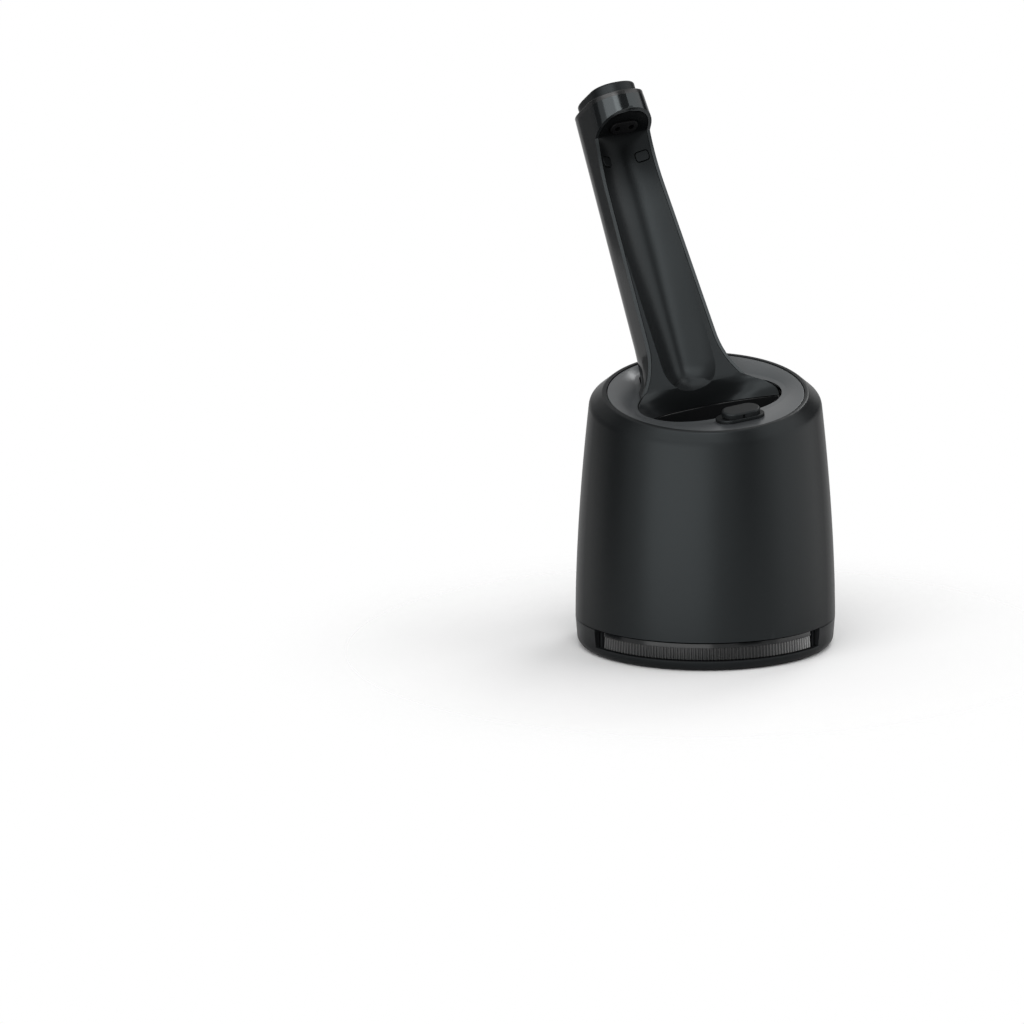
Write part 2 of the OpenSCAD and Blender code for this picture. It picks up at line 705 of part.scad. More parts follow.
// The pipe's two legs (radius r) and the run between them (radius run), which ends a little past each leg
module intake_path(r, run, spare) {
  length = norm([intake_x, pump_y - intake_y]);
  foot = cart_foot + cart_wall + 3;
  translate([0, pump_y, elbow_z]) cylinder(r = r, h = deck_z - 1.7 - elbow_z + spare, $fn = 32);
  translate([intake_x, intake_y, foot - spare]) cylinder(r = r, h = elbow_z - foot + spare, $fn = 32);
  translate([0, pump_y, elbow_z]) rotate([0, 0, atan2(intake_y - pump_y, intake_x)]) rotate([0, 90, 0])
    translate([0, 0, -run - 0.1]) cylinder(r = run, h = length + 2 * run + 0.2, $fn = 32);
}

module intake_pipe() {
  color("#3a3d40") difference() {
    intake_path(intake_r, run_r, 0);
    intake_path(intake_bore_r, run_bore_r, 1);
  }
}

// Spout at the basin's front edge, in the top's frame
spout_w = 16.8;
spout_d = 9;
spout_y = -29.2;
spout_x = 0;
spout_top = 3;
spout_t = 2.4;
spout_flange_t = 1.3;
spout_flange_grow = 4.6;
spout_slope = -7.5;
spout_pipe_y = -29.5;
spout_nozzle_r = 2;
spout_nozzle_end = -9;
hose_end = top_to_body([spout_x, spout_pipe_y, spout_nozzle_end - 0.05]);

module at_spout_flange() {
  translate([0, spout_y + 0.5, -1.35]) rotate([spout_slope, 0, 0]) children();
}

module fluid_spout() {
  color("#26282a") on_top() translate([spout_x, 0, 0]) difference() {
    union() {
      translate([0, spout_y, spout_top - spout_t]) linear_extrude(spout_t - 0.8) stadium(spout_w, spout_d);
      translate([0, spout_y, spout_top - 0.8 - e]) linear_extrude(0.8) stadium(spout_w - 1.2, spout_d - 1.2);
      at_spout_flange() linear_extrude(spout_flange_t) stadium(spout_w + spout_flange_grow, spout_d + 2);
      translate([0, spout_y, -0.9]) linear_extrude(spout_top - 1) stadium(spout_w - 2, spout_d - 2);
      translate([0, spout_pipe_y, spout_nozzle_end])
        cylinder(r = spout_nozzle_r, h = -spout_nozzle_end, $fn = 32);
    }
    translate([0, spout_pipe_y, spout_nozzle_end - 1])
      cylinder(r = spout_nozzle_r - 0.8, h = 2 - spout_nozzle_end, $fn = 32);
    translate([-4, spout_pipe_y - 1, 0.1]) cube([8, 12, 1]);
  }
}

// The hose rises from the pump, goes round the basin's right and ends under the spout
hose_points = [
  [outlet_end + 0.05, outlet_y, outlet_z], [outlet_end + 2, outlet_y, outlet_z],
  [outlet_end + 4, outlet_y, outlet_z], [post_x - 9.7, post_y + 7, 65.5], [post_x - 8.8, post_y + 2, 67.5],
  [post_x - 7, post_y - 8, 70], [post_x, post_y - 16, 72],
  [38, 2, 75], [39, -10, 80], [34, -22, 84], [24, -33, 86],
  hose_end - 5 * top_normal, hose_end - 2.5 * top_normal, hose_end
];

module delivery_hose() {
  color("#55595c") swept(open_curve(hose_points, 3), 2.3, 8, [0.2, 1, 4]);
}

// ---- electronics ----
module main_circuit_board() {
  color("#1f4d33") difference() {
    translate([0, 0, board_z]) linear_extrude(board_t) intersection() {
      circle(r = base_r - 14, $fn = 96);
      translate([-board_half, -board_front]) square([2 * board_half, board_front + board_rear]);
    }
    translate([drain_at.x, drain_at.y, board_z - 1]) cylinder(r = pipe_r + 2.5, h = 5, $fn = 32);
    for (p = board_posts) translate([p.x, p.y, board_z - 1]) cylinder(r = 1.1, h = 5, $fn = 24);
  }
  color("#2a2a2c")
    for (b = [[-22, -24, 12, 12, 2], [10, -26, 14, 10, 5], [-14, 0, 8, 6, 3], [16, -12, 6, 10, 3]])
      translate([b[0], b[1], board_z + board_t - e]) cube([b[2], b[3], b[4] + e]);
  color("#3c3f57")
    for (x = [-26, -18]) translate([x, -8, board_z + board_t - e]) cylinder(r = 3, h = 8, $fn = 32);
}

socket_r = wall_r(socket_z) - 0.3;
cavity_depth = 8;

module power_socket() {
  color("#111213") difference() {
    intersection() {
      translate([-socket_w / 2 + 0.15, socket_back, socket_z - socket_h / 2 + 0.15])
        cube([socket_w - 0.3, base_r, socket_h - 0.3]);
      cylinder(r = socket_r, h = base_r, $fn = 96);
    }
    translate([0, socket_r - cavity_depth, socket_z])
      rotate([-90, 0, 0]) linear_extrude(base_r) stadium(14, 8);
  }
}

module socket_pins() {
  color("#c8b273") for (s = [-1, 1])
    translate([s * pin_pitch / 2, socket_r - cavity_depth, socket_z]) rotate([-90, 0, 0]) {
      cylinder(r = pin_r, h = cavity_depth - 1.5, $fn = 32);
      translate([0, 0, cavity_depth - 1.5 - e]) cylinder(r1 = pin_r, r2 = pin_r * 0.6, h = 0.5, $fn = 32);
    }
}

// ---- lift latch ----
latch_top = button_z + 2;
latch_bar_h = 4;
latch_t = 4;
latch_foot = base_floor + 4;
hook_h = 2.2;
spring_seat = ear_x - latch_arm_w - latch_gap - 0.3;

module latch_pins() {
  color("#b4b8bb") for (s = [-1, 1]) at_latch()
    translate([0, 0, s > 0 ? spring_seat - 3 : -ear_x - ear_t])
      cylinder(r = latch_pin_r, h = ear_x + ear_t - spring_seat + 3, $fn = 32);
}

module latch_springs() {
  color("#b9bdc1") for (s = [-1, 1]) at_latch() translate([0, 0, s > 0 ? spring_seat - 2.6 : -spring_seat])
    coil(latch_pin_r + 0.55, 0.35, 2.6, 3);
}

module latch() {
  color("#45494c") difference() {
    union() {
      translate([-latch_arm_x - latch_arm_w, latch_y - latch_t / 2, latch_top - latch_bar_h])
        cube([2 * (latch_arm_x + latch_arm_w), latch_t, latch_bar_h]);
      for (s = [-1, 1]) translate([s * (latch_arm_x + latch_arm_w / 2) - latch_arm_w / 2, 0, 0]) {
        translate([0, latch_y - latch_t / 2, latch_foot])
          cube([latch_arm_w, latch_t, latch_top - latch_foot]);
        translate([0, keeper_y + 0.3, latch_foot]) cube([latch_arm_w, latch_y - keeper_y - 1, hook_h]);
      }
    }
    at_latch() translate([0, 0, -base_r]) cylinder(r = latch_pin_r + 0.05, h = 2 * base_r, $fn = 32);
  }
}

flange_y = latch_y + latch_t / 2 + 0.6;

module lift_button() {
  color("#1d1e20") difference() {
    union() {
      intersection() {
        translate([-lift_button_w / 2, flange_y, button_z - lift_button_h / 2])
          cube([lift_button_w, base_r, lift_button_h]);
        cylinder(r = wall_r(button_z) - 0.2, h = base_r + 10, $fn = 96);
      }
      translate([-latch_arm_x + 1.2, flange_y, button_z - lift_button_h / 2 - 1.3])
        cube([2 * latch_arm_x - 2.4, 1.4, lift_button_h + 2.6]);
    }
    translate([0, wall_r(button_z) + 29, button_z]) sphere(r = 30.2, $fn = 64);
  }
}

// ---- arm, in its own frame ----
round_y = 1;
back_power = 3;
nose_power = 2.2;
hood_side = 5;
front_cols = 7;
back_cols = 8;
lip_start = hood_h - 36.5;
lip_corner = hood_h - 13.5;
lip_top = hood_h - 6.6;
lip_out = 3.5;
slit = 0.02;
panel_t = 1.5;

flare_fade = 7.5;

function plain_half(t) = mix(arm_foot_w, arm_head_w, t / hood_h);
function flare(t) = arm_flare * pow(max(0, 1 - t / flare_h), 2.2);
function arm_half(t) = plain_half(t) + flare(t);
function arm_deep(t) = mix(arm_depth, arm_head_depth, t / hood_h);
// Half of the hood's width where it is f forward of the arm's front face, drawn in by d
function hood_half(t, f, d) =
  let (k = min(1, max(0, f - hood_side) / (hood_reach - d - hood_side)))
    (arm_half(t) - d) * pow(1 - pow(k, nose_power), 1 / nose_power);
// How far forward the arm's sides reach at t: the lip curls out to the closed hood
function lip_reach(t) =
  t < lip_start ? 0
  : t < lip_corner ? lip_out * pow((t - lip_start) / (lip_corner - lip_start), 2)
  : t < lip_top ? mix(lip_out, hood_reach, (t - lip_corner) / (lip_top - lip_corner))
  : hood_reach;
// Section of the arm at t, from its right seam round the back to its left one, drawn in by d
function arm_ring(t, d) =
  let (
    reach = min(lip_reach(t), hood_reach - d),
    w = plain_half(t) - d,
    deep = arm_deep(t) - d - round_y,
    side = [for (j = [1:front_cols]) let (f = mix(-round_y, reach, sin(90 * j / front_cols)))
      [max(slit, hood_half(t, f, d)), -f]]
  ) [
    for (j = [front_cols - 1:-1:0]) side[j],
    for (i = [0:2 * back_cols]) let (
      q = 90 * i / back_cols, c = cos(q), y = round_y + deep * pow(sin(q), 2 / back_power),
      spread = flare(t) * exp(-pow((y - round_y) / flare_fade, 2))
    ) [sign(c) * (w * pow(abs(c), 2 / back_power) + (i == back_cols ? 0 : spread)), y],
    for (p = side) [-p.x, p.y]
  ];
function hood_plan(d) = arm_ring(hood_h, d);

foot_plane = -1.5;
// Heights of the rows on the front face, with how strongly each follows the plate at the back
shell_rows = [
  [foot_plane / cos(arm_lean), 1], [2, 0.8], [6.5, 0.6], [12, 0.4], [17, 0.2],
  [22, 0], [30, 0], [45, 0], [62, 0], [78, 0],
  [lip_start, 0], [lip_start + 8, 0], [lip_start + 14, 0], [lip_start + 19, 0],
  [lip_corner, 0], [lip_corner + 2, 0], [lip_corner + 4, 0], [lip_corner + 5.7, 0],
  [lip_top + 0.1, 0], [hood_h - 3, 0], [hood_h, 0]
];
function shell_grid(d) = [for (row = shell_rows) [for (p = arm_ring(row[0], d))
  [p.x, p.y, row[0] + row[1] * max(0, p.y) * tan(arm_lean)]]];

module arm_rear_shell() {
  color("#2a2c2e") on_arm() curved_wall(shell_grid(0), shell_grid(arm_wall));
}

// ---- front panel: an apron, the arm's grooved front and the hood's ceiling ----
groove_end = -4.2;
groove_round = 13.2;
inlay = arm_wall + fit_gap;
function groove_k(t) = sqrt(max(0, 1 - pow(max(0, groove_end + groove_round - t) / groove_round, 2)));
function groove_deep(t) = groove_k(t) * mix(groove_foot, groove_head, min(1, max(0, t - 9) / 80));
function groove_half(t) =
  t > 60 ? arm_half(t) - inlay : groove_k(t) * mix(groove_w, arm_half(60) - inlay, max(0, t - 9) / 51);
// Rows of [right edge, middle], in the top's frame
apron_rows = [
  [[apron_w, -8, -5], [0, 11, -12]],
  [[apron_w + 1.1, -3, -3.5], [0, 10.5, -9]],
  [[apron_w - 0.8, 2.5, -2.4], [0, 10, -6]],
  [[apron_w - 4.2, 6.3, -1.3], [0, 9.7, -3]],
  [[arm_half(0.5) - inlay, 10, 0.4], [0, 9.5, -0.6]]
];
// Heights of the rows up the arm
arm_rows = [1, 2.5, 5, 8.5, 12, 16.5, 22, 32, 45, 60, 75, lip_start];
// [height of the edge, forward distance of the middle, height of the middle, turn of its back]
hood_rows = [
  [lip_start + 7, -5, lip_start + 7, 5], [lip_start + 13, -4.6, lip_start + 13, 12],
  [lip_start + 18, -3.3, lip_start + 18, 25], [lip_start + 21.3, -1.2, lip_start + 21.8, 45],
  [lip_corner + 0.1, 1.6, lip_corner + 1.2, 55], [lip_corner + 1.5, 5.2, lip_corner + 2.7, 60],
  [lip_corner + 3.1, 8.6, lip_corner + 4, 60], [lip_corner + 4.5, 11.8, lip_corner + 5.1, 60],
  [lip_corner + 5.6, 14.2, lip_corner + 5.9, 60], [lip_corner + 6, 15, lip_corner + 6.1, 60]
];
panel_cols = 8;
// How far the panel's front end stays behind the hood's wall
panel_tip = 0.3;
function panel_u() = [for (i = [-panel_cols:panel_cols]) i / panel_cols];
function hump(x, w) = w < 0.01 ? 0 : max(0, 1 - pow(x / w, 2));

// The panel gets thin toward its side edges, where it passes in front of the shell's foot
function thin(u) = 1 - 0.75 * pow(abs(u), 8);
function apron_row(r, d) =
  let (a = r[0], b = r[1], t = b.z / cos(arm_lean)) [for (u = panel_u())
    let (k = pow(abs(u), 3), g = groove_deep(t) * hump(u * a.x, groove_half(t)))
      [u * a.x, mix(b.y, a.y, k) + g + d * thin(u), mix(b.z, a.z, k)]];
function arm_row(t, d) = let (w = arm_half(t) - inlay) [for (u = panel_u())
  arm_to_top([u * w, d + groove_deep(t) * hump(u * w, groove_half(t)), t])];
function hood_row(r, d) =
  let (
    t = r[0],
    f = min(lip_reach(t), hood_reach - inlay - panel_tip),
    w = f > hood_side ? hood_half(t, f, inlay + 0.1) : arm_half(t) - inlay
  ) [for (u = panel_u()) let (k = hump(u, 1.0001))
    arm_to_top([u * w, mix(-f, -r[1], k) + d * cos(r[3]), mix(t, r[2], k) + d * sin(r[3])])];
function panel_grid(d) = [
  for (r = apron_rows) apron_row(r, d),
  for (t = arm_rows) arm_row(t, d),
  for (r = hood_rows) hood_row(r, d)
];

plug_f = 6;
plug_t = lip_corner + 2.9;
plug_l = 13;
plug_w = 6.5;
ceiling_slope = 30;
module at_plug() {
  on_arm() translate([0, -plug_f, plug_t]) rotate([180 - ceiling_slope, 0, 0]) children();
}
pad_l = 5.8;
pad_w = 4.3;
pad_x = 8.4;
pad_y = 1.3;
pad_t = lip_start + 13.5;
pad_turn = 33;
module at_pads() {
  on_arm() for (s = [-1, 1]) translate([s * pad_x, pad_y, pad_t]) rotate([90, 0, -s * pad_turn]) children();
}

module arm_front_panel() {
  color("#303235") difference() {
    curved_panel();
    at_plug() translate([0, 0, -6]) linear_extrude(14) stadium(plug_l + 2 * fit_gap, plug_w + 2 * fit_gap);
    at_pads() translate([0, 0, -4]) linear_extrude(8) stadium(pad_l + 2 * fit_gap, pad_w + 2 * fit_gap);
  }
}
module curved_panel() {
  on_top() curved_wall(panel_grid(0), panel_grid(panel_t));
}

module panel_pads() {
  color("#232527") at_pads() translate([0, 0, -1.6]) linear_extrude(1.8) stadium(pad_l, pad_w);
}

contact_pitch = 6.6;
contact_r = 1.2;
module charging_plug() {
  color("#111213") at_plug() difference() {
    translate([0, 0, -4]) linear_extrude(5.6) stadium(plug_l, plug_w);
    for (s = [-1, 1]) translate([s * contact_pitch / 2, 0, -3]) cylinder(r = contact_r, h = 8, $fn = 32);
  }
}
module contact_sleeves() {
  color("#c8b273") at_plug() for (s = [-1, 1]) translate([s * contact_pitch / 2, 0, -3]) difference() {
    cylinder(r = contact_r, h = 3.8, $fn = 32);
    translate([0, 0, 0.6]) cylinder(r = contact_r - 0.35, h = 4, $fn = 32);
  }
}

hood_board_t = lip_corner + 5.8;
dome = [0, 5];
cable_points = [
  [-10, 6.1, board_z + board_t + 1.6], [-10, 7.5, board_z + board_t + 1.6],
  [-10, 9, board_z + board_t + 1.7], [-11, 12, 68], [-14, 14, 75], [-15, 15, 90], [-13.5, 15, 106],
  top_to_body(arm_to_top([0, 14, 12])), top_to_body(arm_to_top([0, 14, 35])),
  top_to_body(arm_to_top([0, 13, 60])),
  top_to_body(arm_to_top([0, 12, 90])), top_to_body(arm_to_top([0, 11, lip_corner + 1])),
  top_to_body(arm_to_top([0, 11, lip_corner + 3])), top_to_body(arm_to_top([0, 11, hood_board_t - 0.05]))
];
module arm_cable() {
  color("#202124") swept(open_curve(cable_points, 2), 1.2, 6, [1, 0.2, 0]);
}

module hood_circuit_board() {
  color("#1f4d33") on_arm() translate([-9, 0, hood_board_t]) cube([18, 13, board_t]);
  color("#3b3b3e") on_arm() translate([dome.x, dome.y, hood_board_t + board_t - e]) {
    cylinder(r = 3, h = 1.6, $fn = 32);
    cylinder(r = 1.5, h = 2.4, $fn = 32);
  }
}

module light_ring() {
  color("#8a8f94", 0.7) on_arm() translate([0, 0, hood_h]) linear_extrude(ring_h) difference() {
    polygon(hood_plan(0.1));
    polygon(hood_plan(cap_inset - fit_gap));
  }
}

cap_foot = hood_h - 1;
cap_top = hood_h + ring_h + cap_h;
cap_roof = 1.5;
stem_r = 2.5;
stem_foot = hood_board_t + board_t + 2.4 + start_travel + 0.1;

module start_button() {
  color("#2f3133") on_arm() {
    difference() {
      union() {
        translate([0, 0, cap_foot]) linear_extrude(cap_top - cap_foot - 0.9) polygon(hood_plan(cap_inset));
        translate([0, 0, cap_top - 0.9 - e]) linear_extrude(0.5) polygon(hood_plan(cap_inset + 0.3));
        translate([0, 0, cap_top - 0.4 - 2 * e]) linear_extrude(0.4) polygon(hood_plan(cap_inset + 0.9));
        translate([0, 0, cap_foot]) linear_extrude(0.9) polygon(hood_plan(arm_wall + 0.35));
      }
      translate([0, 0, cap_foot - 1])
        linear_extrude(cap_top - cap_foot + 1 - cap_roof) polygon(hood_plan(cap_inset + 1.5));
    }
    translate([dome.x, dome.y, stem_foot])
      cylinder(r = stem_r, h = cap_top - cap_roof / 2 - stem_foot, $fn = 32);
  }
}

// Drawn as long as it is when the button is pressed
module button_spring() {
  color("#b9bdc1") on_arm() translate([dome.x, dome.y, hood_board_t + board_t])
    coil(4.2, 0.3, cap_top - cap_roof - start_travel - hood_board_t - board_t - 0.1, 5);
}

base_tray();
rubber_feet();
guide_posts();
base_screws();
lift_springs();
cartridge_tank();
cartridge_lid();
housing_shell();
top_plate();
wash_tray();
tray_seal();
drain_seal();
drain_pipe();
inner_chassis();
chassis_screws();
pump_chamber();
pump_motor();
pump_rotor();
intake_pipe();
delivery_hose();
fluid_spout();
main_circuit_board();
power_socket();
socket_pins();
latch_pins();
latch_springs();
latch();
lift_button();
arm_rear_shell();
arm_front_panel();
panel_pads();
charging_plug();
contact_sleeves();
arm_cable();
hood_circuit_board();
light_ring();
start_button();
button_spring();
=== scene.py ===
import math
import bpy
import bmesh
import numpy as np
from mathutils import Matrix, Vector


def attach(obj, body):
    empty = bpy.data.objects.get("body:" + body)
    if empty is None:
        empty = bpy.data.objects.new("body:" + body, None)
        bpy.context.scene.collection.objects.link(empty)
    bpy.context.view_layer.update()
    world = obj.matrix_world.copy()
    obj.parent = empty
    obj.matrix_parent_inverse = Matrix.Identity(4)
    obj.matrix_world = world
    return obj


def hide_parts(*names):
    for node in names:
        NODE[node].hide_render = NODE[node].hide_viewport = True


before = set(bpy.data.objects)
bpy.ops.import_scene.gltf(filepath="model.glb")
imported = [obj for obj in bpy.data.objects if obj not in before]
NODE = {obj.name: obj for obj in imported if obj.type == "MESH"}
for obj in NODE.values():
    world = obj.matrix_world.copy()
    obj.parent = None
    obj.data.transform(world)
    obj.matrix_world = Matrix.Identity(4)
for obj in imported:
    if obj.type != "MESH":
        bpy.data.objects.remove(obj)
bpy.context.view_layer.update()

# Shapes are computed in millimetres and written to meshes in metres. "top" and "arm" are the tilted frames of
# the plate and of the arm: x to the right, y away from the front, z square to the plate or along the arm.
TURN, TILT, LEAN = (math.radians(v) for v in (28, 14.2, 36.5))
RIM_H, RIM_SHIFT, ARM_BACK = 108.4, 6.7, 9.8


# ---- maths ----
def arr(v):
    return np.asarray(v, float)


def unit(v):
    v = arr(v)
    return v / np.linalg.norm(v, axis=-1, keepdims=True)


def mix(a, b, k):
    return a + (b - a) * k


def bend(a, b, c, k):
    """The point k of the way along the curve from a to c that b pulls on."""
    return mix(mix(a, b, k), mix(b, c, k), k)


def catmull(a, b, c, d, k):
    square, cube = 2 * a - 5 * b + 4 * c - d, 3 * b - a - 3 * c + d
    return 0.5 * (2 * b + (c - a) * k + square * k * k + cube * k ** 3)


def closed_curve(p, n):
    """A smooth closed curve through the points, with n steps between each two."""
    p, m = arr(p), len(p)
    return arr([catmull(p[i - 1], p[i], p[(i + 1) % m], p[(i + 2) % m], j / n)
                for i in range(m) for j in range(n)])


def open_curve(p, n):
    """A smooth curve from the first point to the last, with n steps between each two."""
    p, m = arr(p), len(p)
    got = [catmull(p[max(i - 1, 0)], p[i], p[i + 1], p[min(i + 2, m - 1)], j / n)
           for i in range(m - 1) for j in range(n)]
    return arr(got + [p[-1]])


def inset(p, d):
    """The closed outline moved inwards by d."""
    t = unit(np.roll(p, -1, 0) - np.roll(p, 1, 0))
    return p + d * np.stack([-t[:, 1], t[:, 0]], 1)


def top(p):
    p = arr(p)
    x = p[..., 0] * math.cos(TURN) - p[..., 1] * math.sin(TURN)
    y = p[..., 0] * math.sin(TURN) + p[..., 1] * math.cos(TURN)
    z = p[..., 2]
    return np.stack([x, y * math.cos(TILT) - z * math.sin(TILT) - RIM_SHIFT,
                     y * math.sin(TILT) + z * math.cos(TILT) + RIM_H], -1)


def arm_top(p):
    p = arr(p)
    return np.stack([p[..., 0], ARM_BACK + p[..., 1] * math.cos(LEAN) + p[..., 2] * math.sin(LEAN),
                     p[..., 2] * math.cos(LEAN) - p[..., 1] * math.sin(LEAN)], -1)


def arm(p):
    return top(arm_top(p))


def circle(r, n=192, x=0.0, y=0.0):
    q = np.linspace(0, 2 * math.pi, n, endpoint=False)
    return np.stack([x + r * np.cos(q), y + r * np.sin(q)], 1)


def stadium(length, width, n=24):
    r, h = width / 2, (length - width) / 2
    q = np.linspace(-math.pi / 2, math.pi / 2, n)
    right = np.stack([h + r * np.cos(q), r * np.sin(q)], 1)
    return np.concatenate([right, -right])


def rounded_box(w, h, r, n=6):
    q = np.linspace(0, math.pi / 2, n)
    corner = np.stack([np.cos(q), np.sin(q)], 1) * r
    got = []
    for sx, sy, turn in ((1, 1, 0), (-1, 1, 1), (-1, -1, 2), (1, -1, 3)):
        c, s = [(1, 0), (0, 1), (-1, 0), (0, -1)][turn]
        got.append(corner @ arr([[c, s], [-s, c]]) + [sx * (w / 2 - r), sy * (h / 2 - r)])
    return np.concatenate(got)


def at_z(p, z):
    p = arr(p)
    return np.concatenate([p[:, :2], np.full((len(p), 1), float(z))], 1)


# ---- meshes ----
def link(name, me):
    o = bpy.data.objects.new(name, me)
    bpy.context.scene.collection.objects.link(o)
    return o


def raw(name, verts, faces):
    me = bpy.data.meshes.new(name)
    me.from_pydata((arr(verts) * 0.001).tolist(), [], [tuple(int(i) for i in f) for f in faces])
    bm = bmesh.new()
    bm.from_mesh(me)
    bmesh.ops.remove_doubles(bm, verts=bm.verts, dist=2e-6)
    bmesh.ops.recalc_face_normals(bm, faces=bm.faces)
    bm.to_mesh(me)
    bm.free()
    me.update()
    return link(name, me)


def loft(name, rows, ring=False, caps=(True, True)):
    """Closed loops of equal length joined in order; ring also joins the last loop to the first."""
    rows = [arr(r) for r in rows]
    n, m = len(rows[0]), len(rows)
    faces = []
    for r in range(m if ring else m - 1):
        s = (r + 1) % m
        for c in range(n):
            d = (c + 1) % n
            faces.append((r * n + c, s * n + c, s * n + d, r * n + d))
    if caps[0] and not ring:
        faces.append(tuple(range(n)))
    if caps[1] and not ring:
        faces.append(tuple((m - 1) * n + c for c in reversed(range(n))))
    return raw(name, np.concatenate(rows), faces)


def sheet_wall(name, face, back):
    """A wall between two open grids of points of one size."""
    face, back = arr(face), arr(back)
    m, n = face.shape[:2]
    ring = np.concatenate([face, back[::-1]])
    faces = []
    for r in range(2 * m):
        s = (r + 1) % (2 * m)
        for c in range(n - 1):
            faces.append((r * n + c, s * n + c, s * n + c + 1, r * n + c + 1))
    for r in range(m - 1):
        a, b = 2 * m - 1 - r, 2 * m - 2 - r
        faces.append((r * n, (r + 1) * n, b * n, a * n))
        faces.append((r * n + n - 1, (r + 1) * n + n - 1, b * n + n - 1, a * n + n - 1))
    return raw(name, ring.reshape(-1, 3), faces)


def join(name, objs):
    bm = bmesh.new()
    for o in objs:
        bm.from_mesh(o.data)
    me = bpy.data.meshes.new(name)
    bm.to_mesh(me)
    bm.free()
    for o in objs:
        bpy.data.objects.remove(o)
    return link(name, me)


def bake(o):
    """Applies what modifiers the object has."""
    dg = bpy.context.evaluated_depsgraph_get()
    me = bpy.data.meshes.new_from_object(o.evaluated_get(dg))
    o.modifiers.clear()
    o.data = me
    return o


def cut(o, cutter):
    """Takes the cutter's shape out of the object and removes the cutter."""
    m = o.modifiers.new("cut", "BOOLEAN")
    m.operation, m.solver, m.object = "DIFFERENCE", "EXACT", cutter
    bpy.context.view_layer.update()
    bake(o)
    bpy.data.objects.remove(cutter)
    return o


def edges(o, width=0.25, segments=3, angle=32):
    """Rounds the object's sharp edges and smooths the rest."""
    for p in o.data.polygons:
        p.use_smooth = True
    b = o.modifiers.new("edges", "BEVEL")
    b.width, b.segments, b.limit_method, b.angle_limit = width * 0.001, segments, "ANGLE", math.radians(angle)
    b.miter_outer = "MITER_ARC"
    w = o.modifiers.new("normals", "WEIGHTED_NORMAL")
    w.keep_sharp, w.weight = True, 60
    return o


def place(o, body, nodes, slot):
    """Puts a piece on its body, in place of its CAD nodes, in the material of that slot."""
    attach(o, body)
    if nodes:
        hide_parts(*nodes)
    o.data.materials.clear()
    o.data.materials.append(MAT[slot])


def prism(name, outline, z0, z1, where=lambda p: p, roundness=0.0):
    """A straight piece on an outline, with its upper edge rounded by insetting the outline."""
    rows = [at_z(outline, z0), at_z(outline, z1 - roundness)]
    for i in range(1, 5) if roundness else ():
        q = math.pi / 2 * i / 4
        drawn_in = inset(outline, roundness * (1 - math.cos(q)))
        rows.append(at_z(drawn_in, z1 - roundness + roundness * math.sin(q)))
    return loft(name, [where(r) for r in rows])


# ---- materials ----
def finish_of(name, colour, rough, grain=2200, bump=0.03, vary=0.12, metal=0.0, spec=0.5, glow=0.0,
              wear=0.0, tint=(1, 1, 1), rim=1.0):
    """Moulded or metal finish: a fine grain, slow changes in colour and roughness, and paler worn edges."""
    m = bpy.data.materials.new(name)
    m.use_nodes = True
    t = m.node_tree
    b = t.nodes["Principled BSDF"]
    co = t.nodes.new("ShaderNodeTexCoord")

    def noise(scale, detail):
        n = t.nodes.new("ShaderNodeTexNoise")
        n.inputs["Scale"].default_value, n.inputs["Detail"].default_value = scale, detail
        t.links.new(co.outputs["Object"], n.inputs["Vector"])
        return n.outputs["Fac"]

    def ranged(fac, low, high):
        r = t.nodes.new("ShaderNodeMapRange")
        r.inputs["From Min"].default_value, r.inputs["From Max"].default_value = 0.3, 0.7
        r.inputs["To Min"].default_value, r.inputs["To Max"].default_value = low, high
        t.links.new(fac, r.inputs["Value"])
        return r.outputs["Result"]

    slow, fine = noise(60, 3), noise(grain, 2)
    shade = t.nodes.new("ShaderNodeMix")
    shade.data_type = "RGBA"
    shade.inputs["A"].default_value = (*[c * (1 - vary) for c in colour], 1)
    shade.inputs["B"].default_value = (*[min(1, c * (1 + vary)) for c in colour], 1)
    t.links.new(slow, shade.inputs["Factor"])
    shown = shade.outputs["Result"]
    if wear:
        g = t.nodes.new("ShaderNodeNewGeometry")
        r = t.nodes.new("ShaderNodeMapRange")
        r.inputs["From Min"].default_value, r.inputs["From Max"].default_value = 0.53, 0.62
        r.inputs["To Min"].default_value, r.inputs["To Max"].default_value = 0.0, wear
        t.links.new(g.outputs["Pointiness"], r.inputs["Value"])
        w = t.nodes.new("ShaderNodeMix")
        w.data_type = "RGBA"
        w.inputs["B"].default_value = (*[min(1, c * 2.2 + 0.02) for c in colour], 1)
        t.links.new(r.outputs["Result"], w.inputs["Factor"])
        t.links.new(shown, w.inputs["A"])
        shown = w.outputs["Result"]
    t.links.new(shown, b.inputs["Base Color"])
    t.links.new(ranged(fine, rough * 0.92, min(1, rough * 1.1)), b.inputs["Roughness"])
    if bump:
        k = t.nodes.new("ShaderNodeBump")
        k.inputs["Strength"].default_value, k.inputs["Distance"].default_value = 1.0, bump * 0.001
        t.links.new(fine, k.inputs["Height"])
        t.links.new(k.outputs["Normal"], b.inputs["Normal"])
    b.inputs["Metallic"].default_value = metal
    b.inputs["Specular IOR Level"].default_value = spec
    if rim < 1:
        # a matt skin shines less where it turns away
        turned_away, less = t.nodes.new("ShaderNodeLayerWeight"), t.nodes.new("ShaderNodeMapRange")
        less.inputs["From Min"].default_value, less.inputs["From Max"].default_value = 0.1, 0.65
        less.inputs["To Min"].default_value, less.inputs["To Max"].default_value = spec, spec * rim
        t.links.new(turned_away.outputs["Facing"], less.inputs["Value"])
        t.links.new(less.outputs["Result"], b.inputs["Specular IOR Level"])
    b.inputs["Specular Tint"].default_value = (*tint, 1)
    b.inputs["Transmission Weight"].default_value = glow
    return m


COOL = (0.88, 0.97, 1.0)  # tint of the skins' gloss
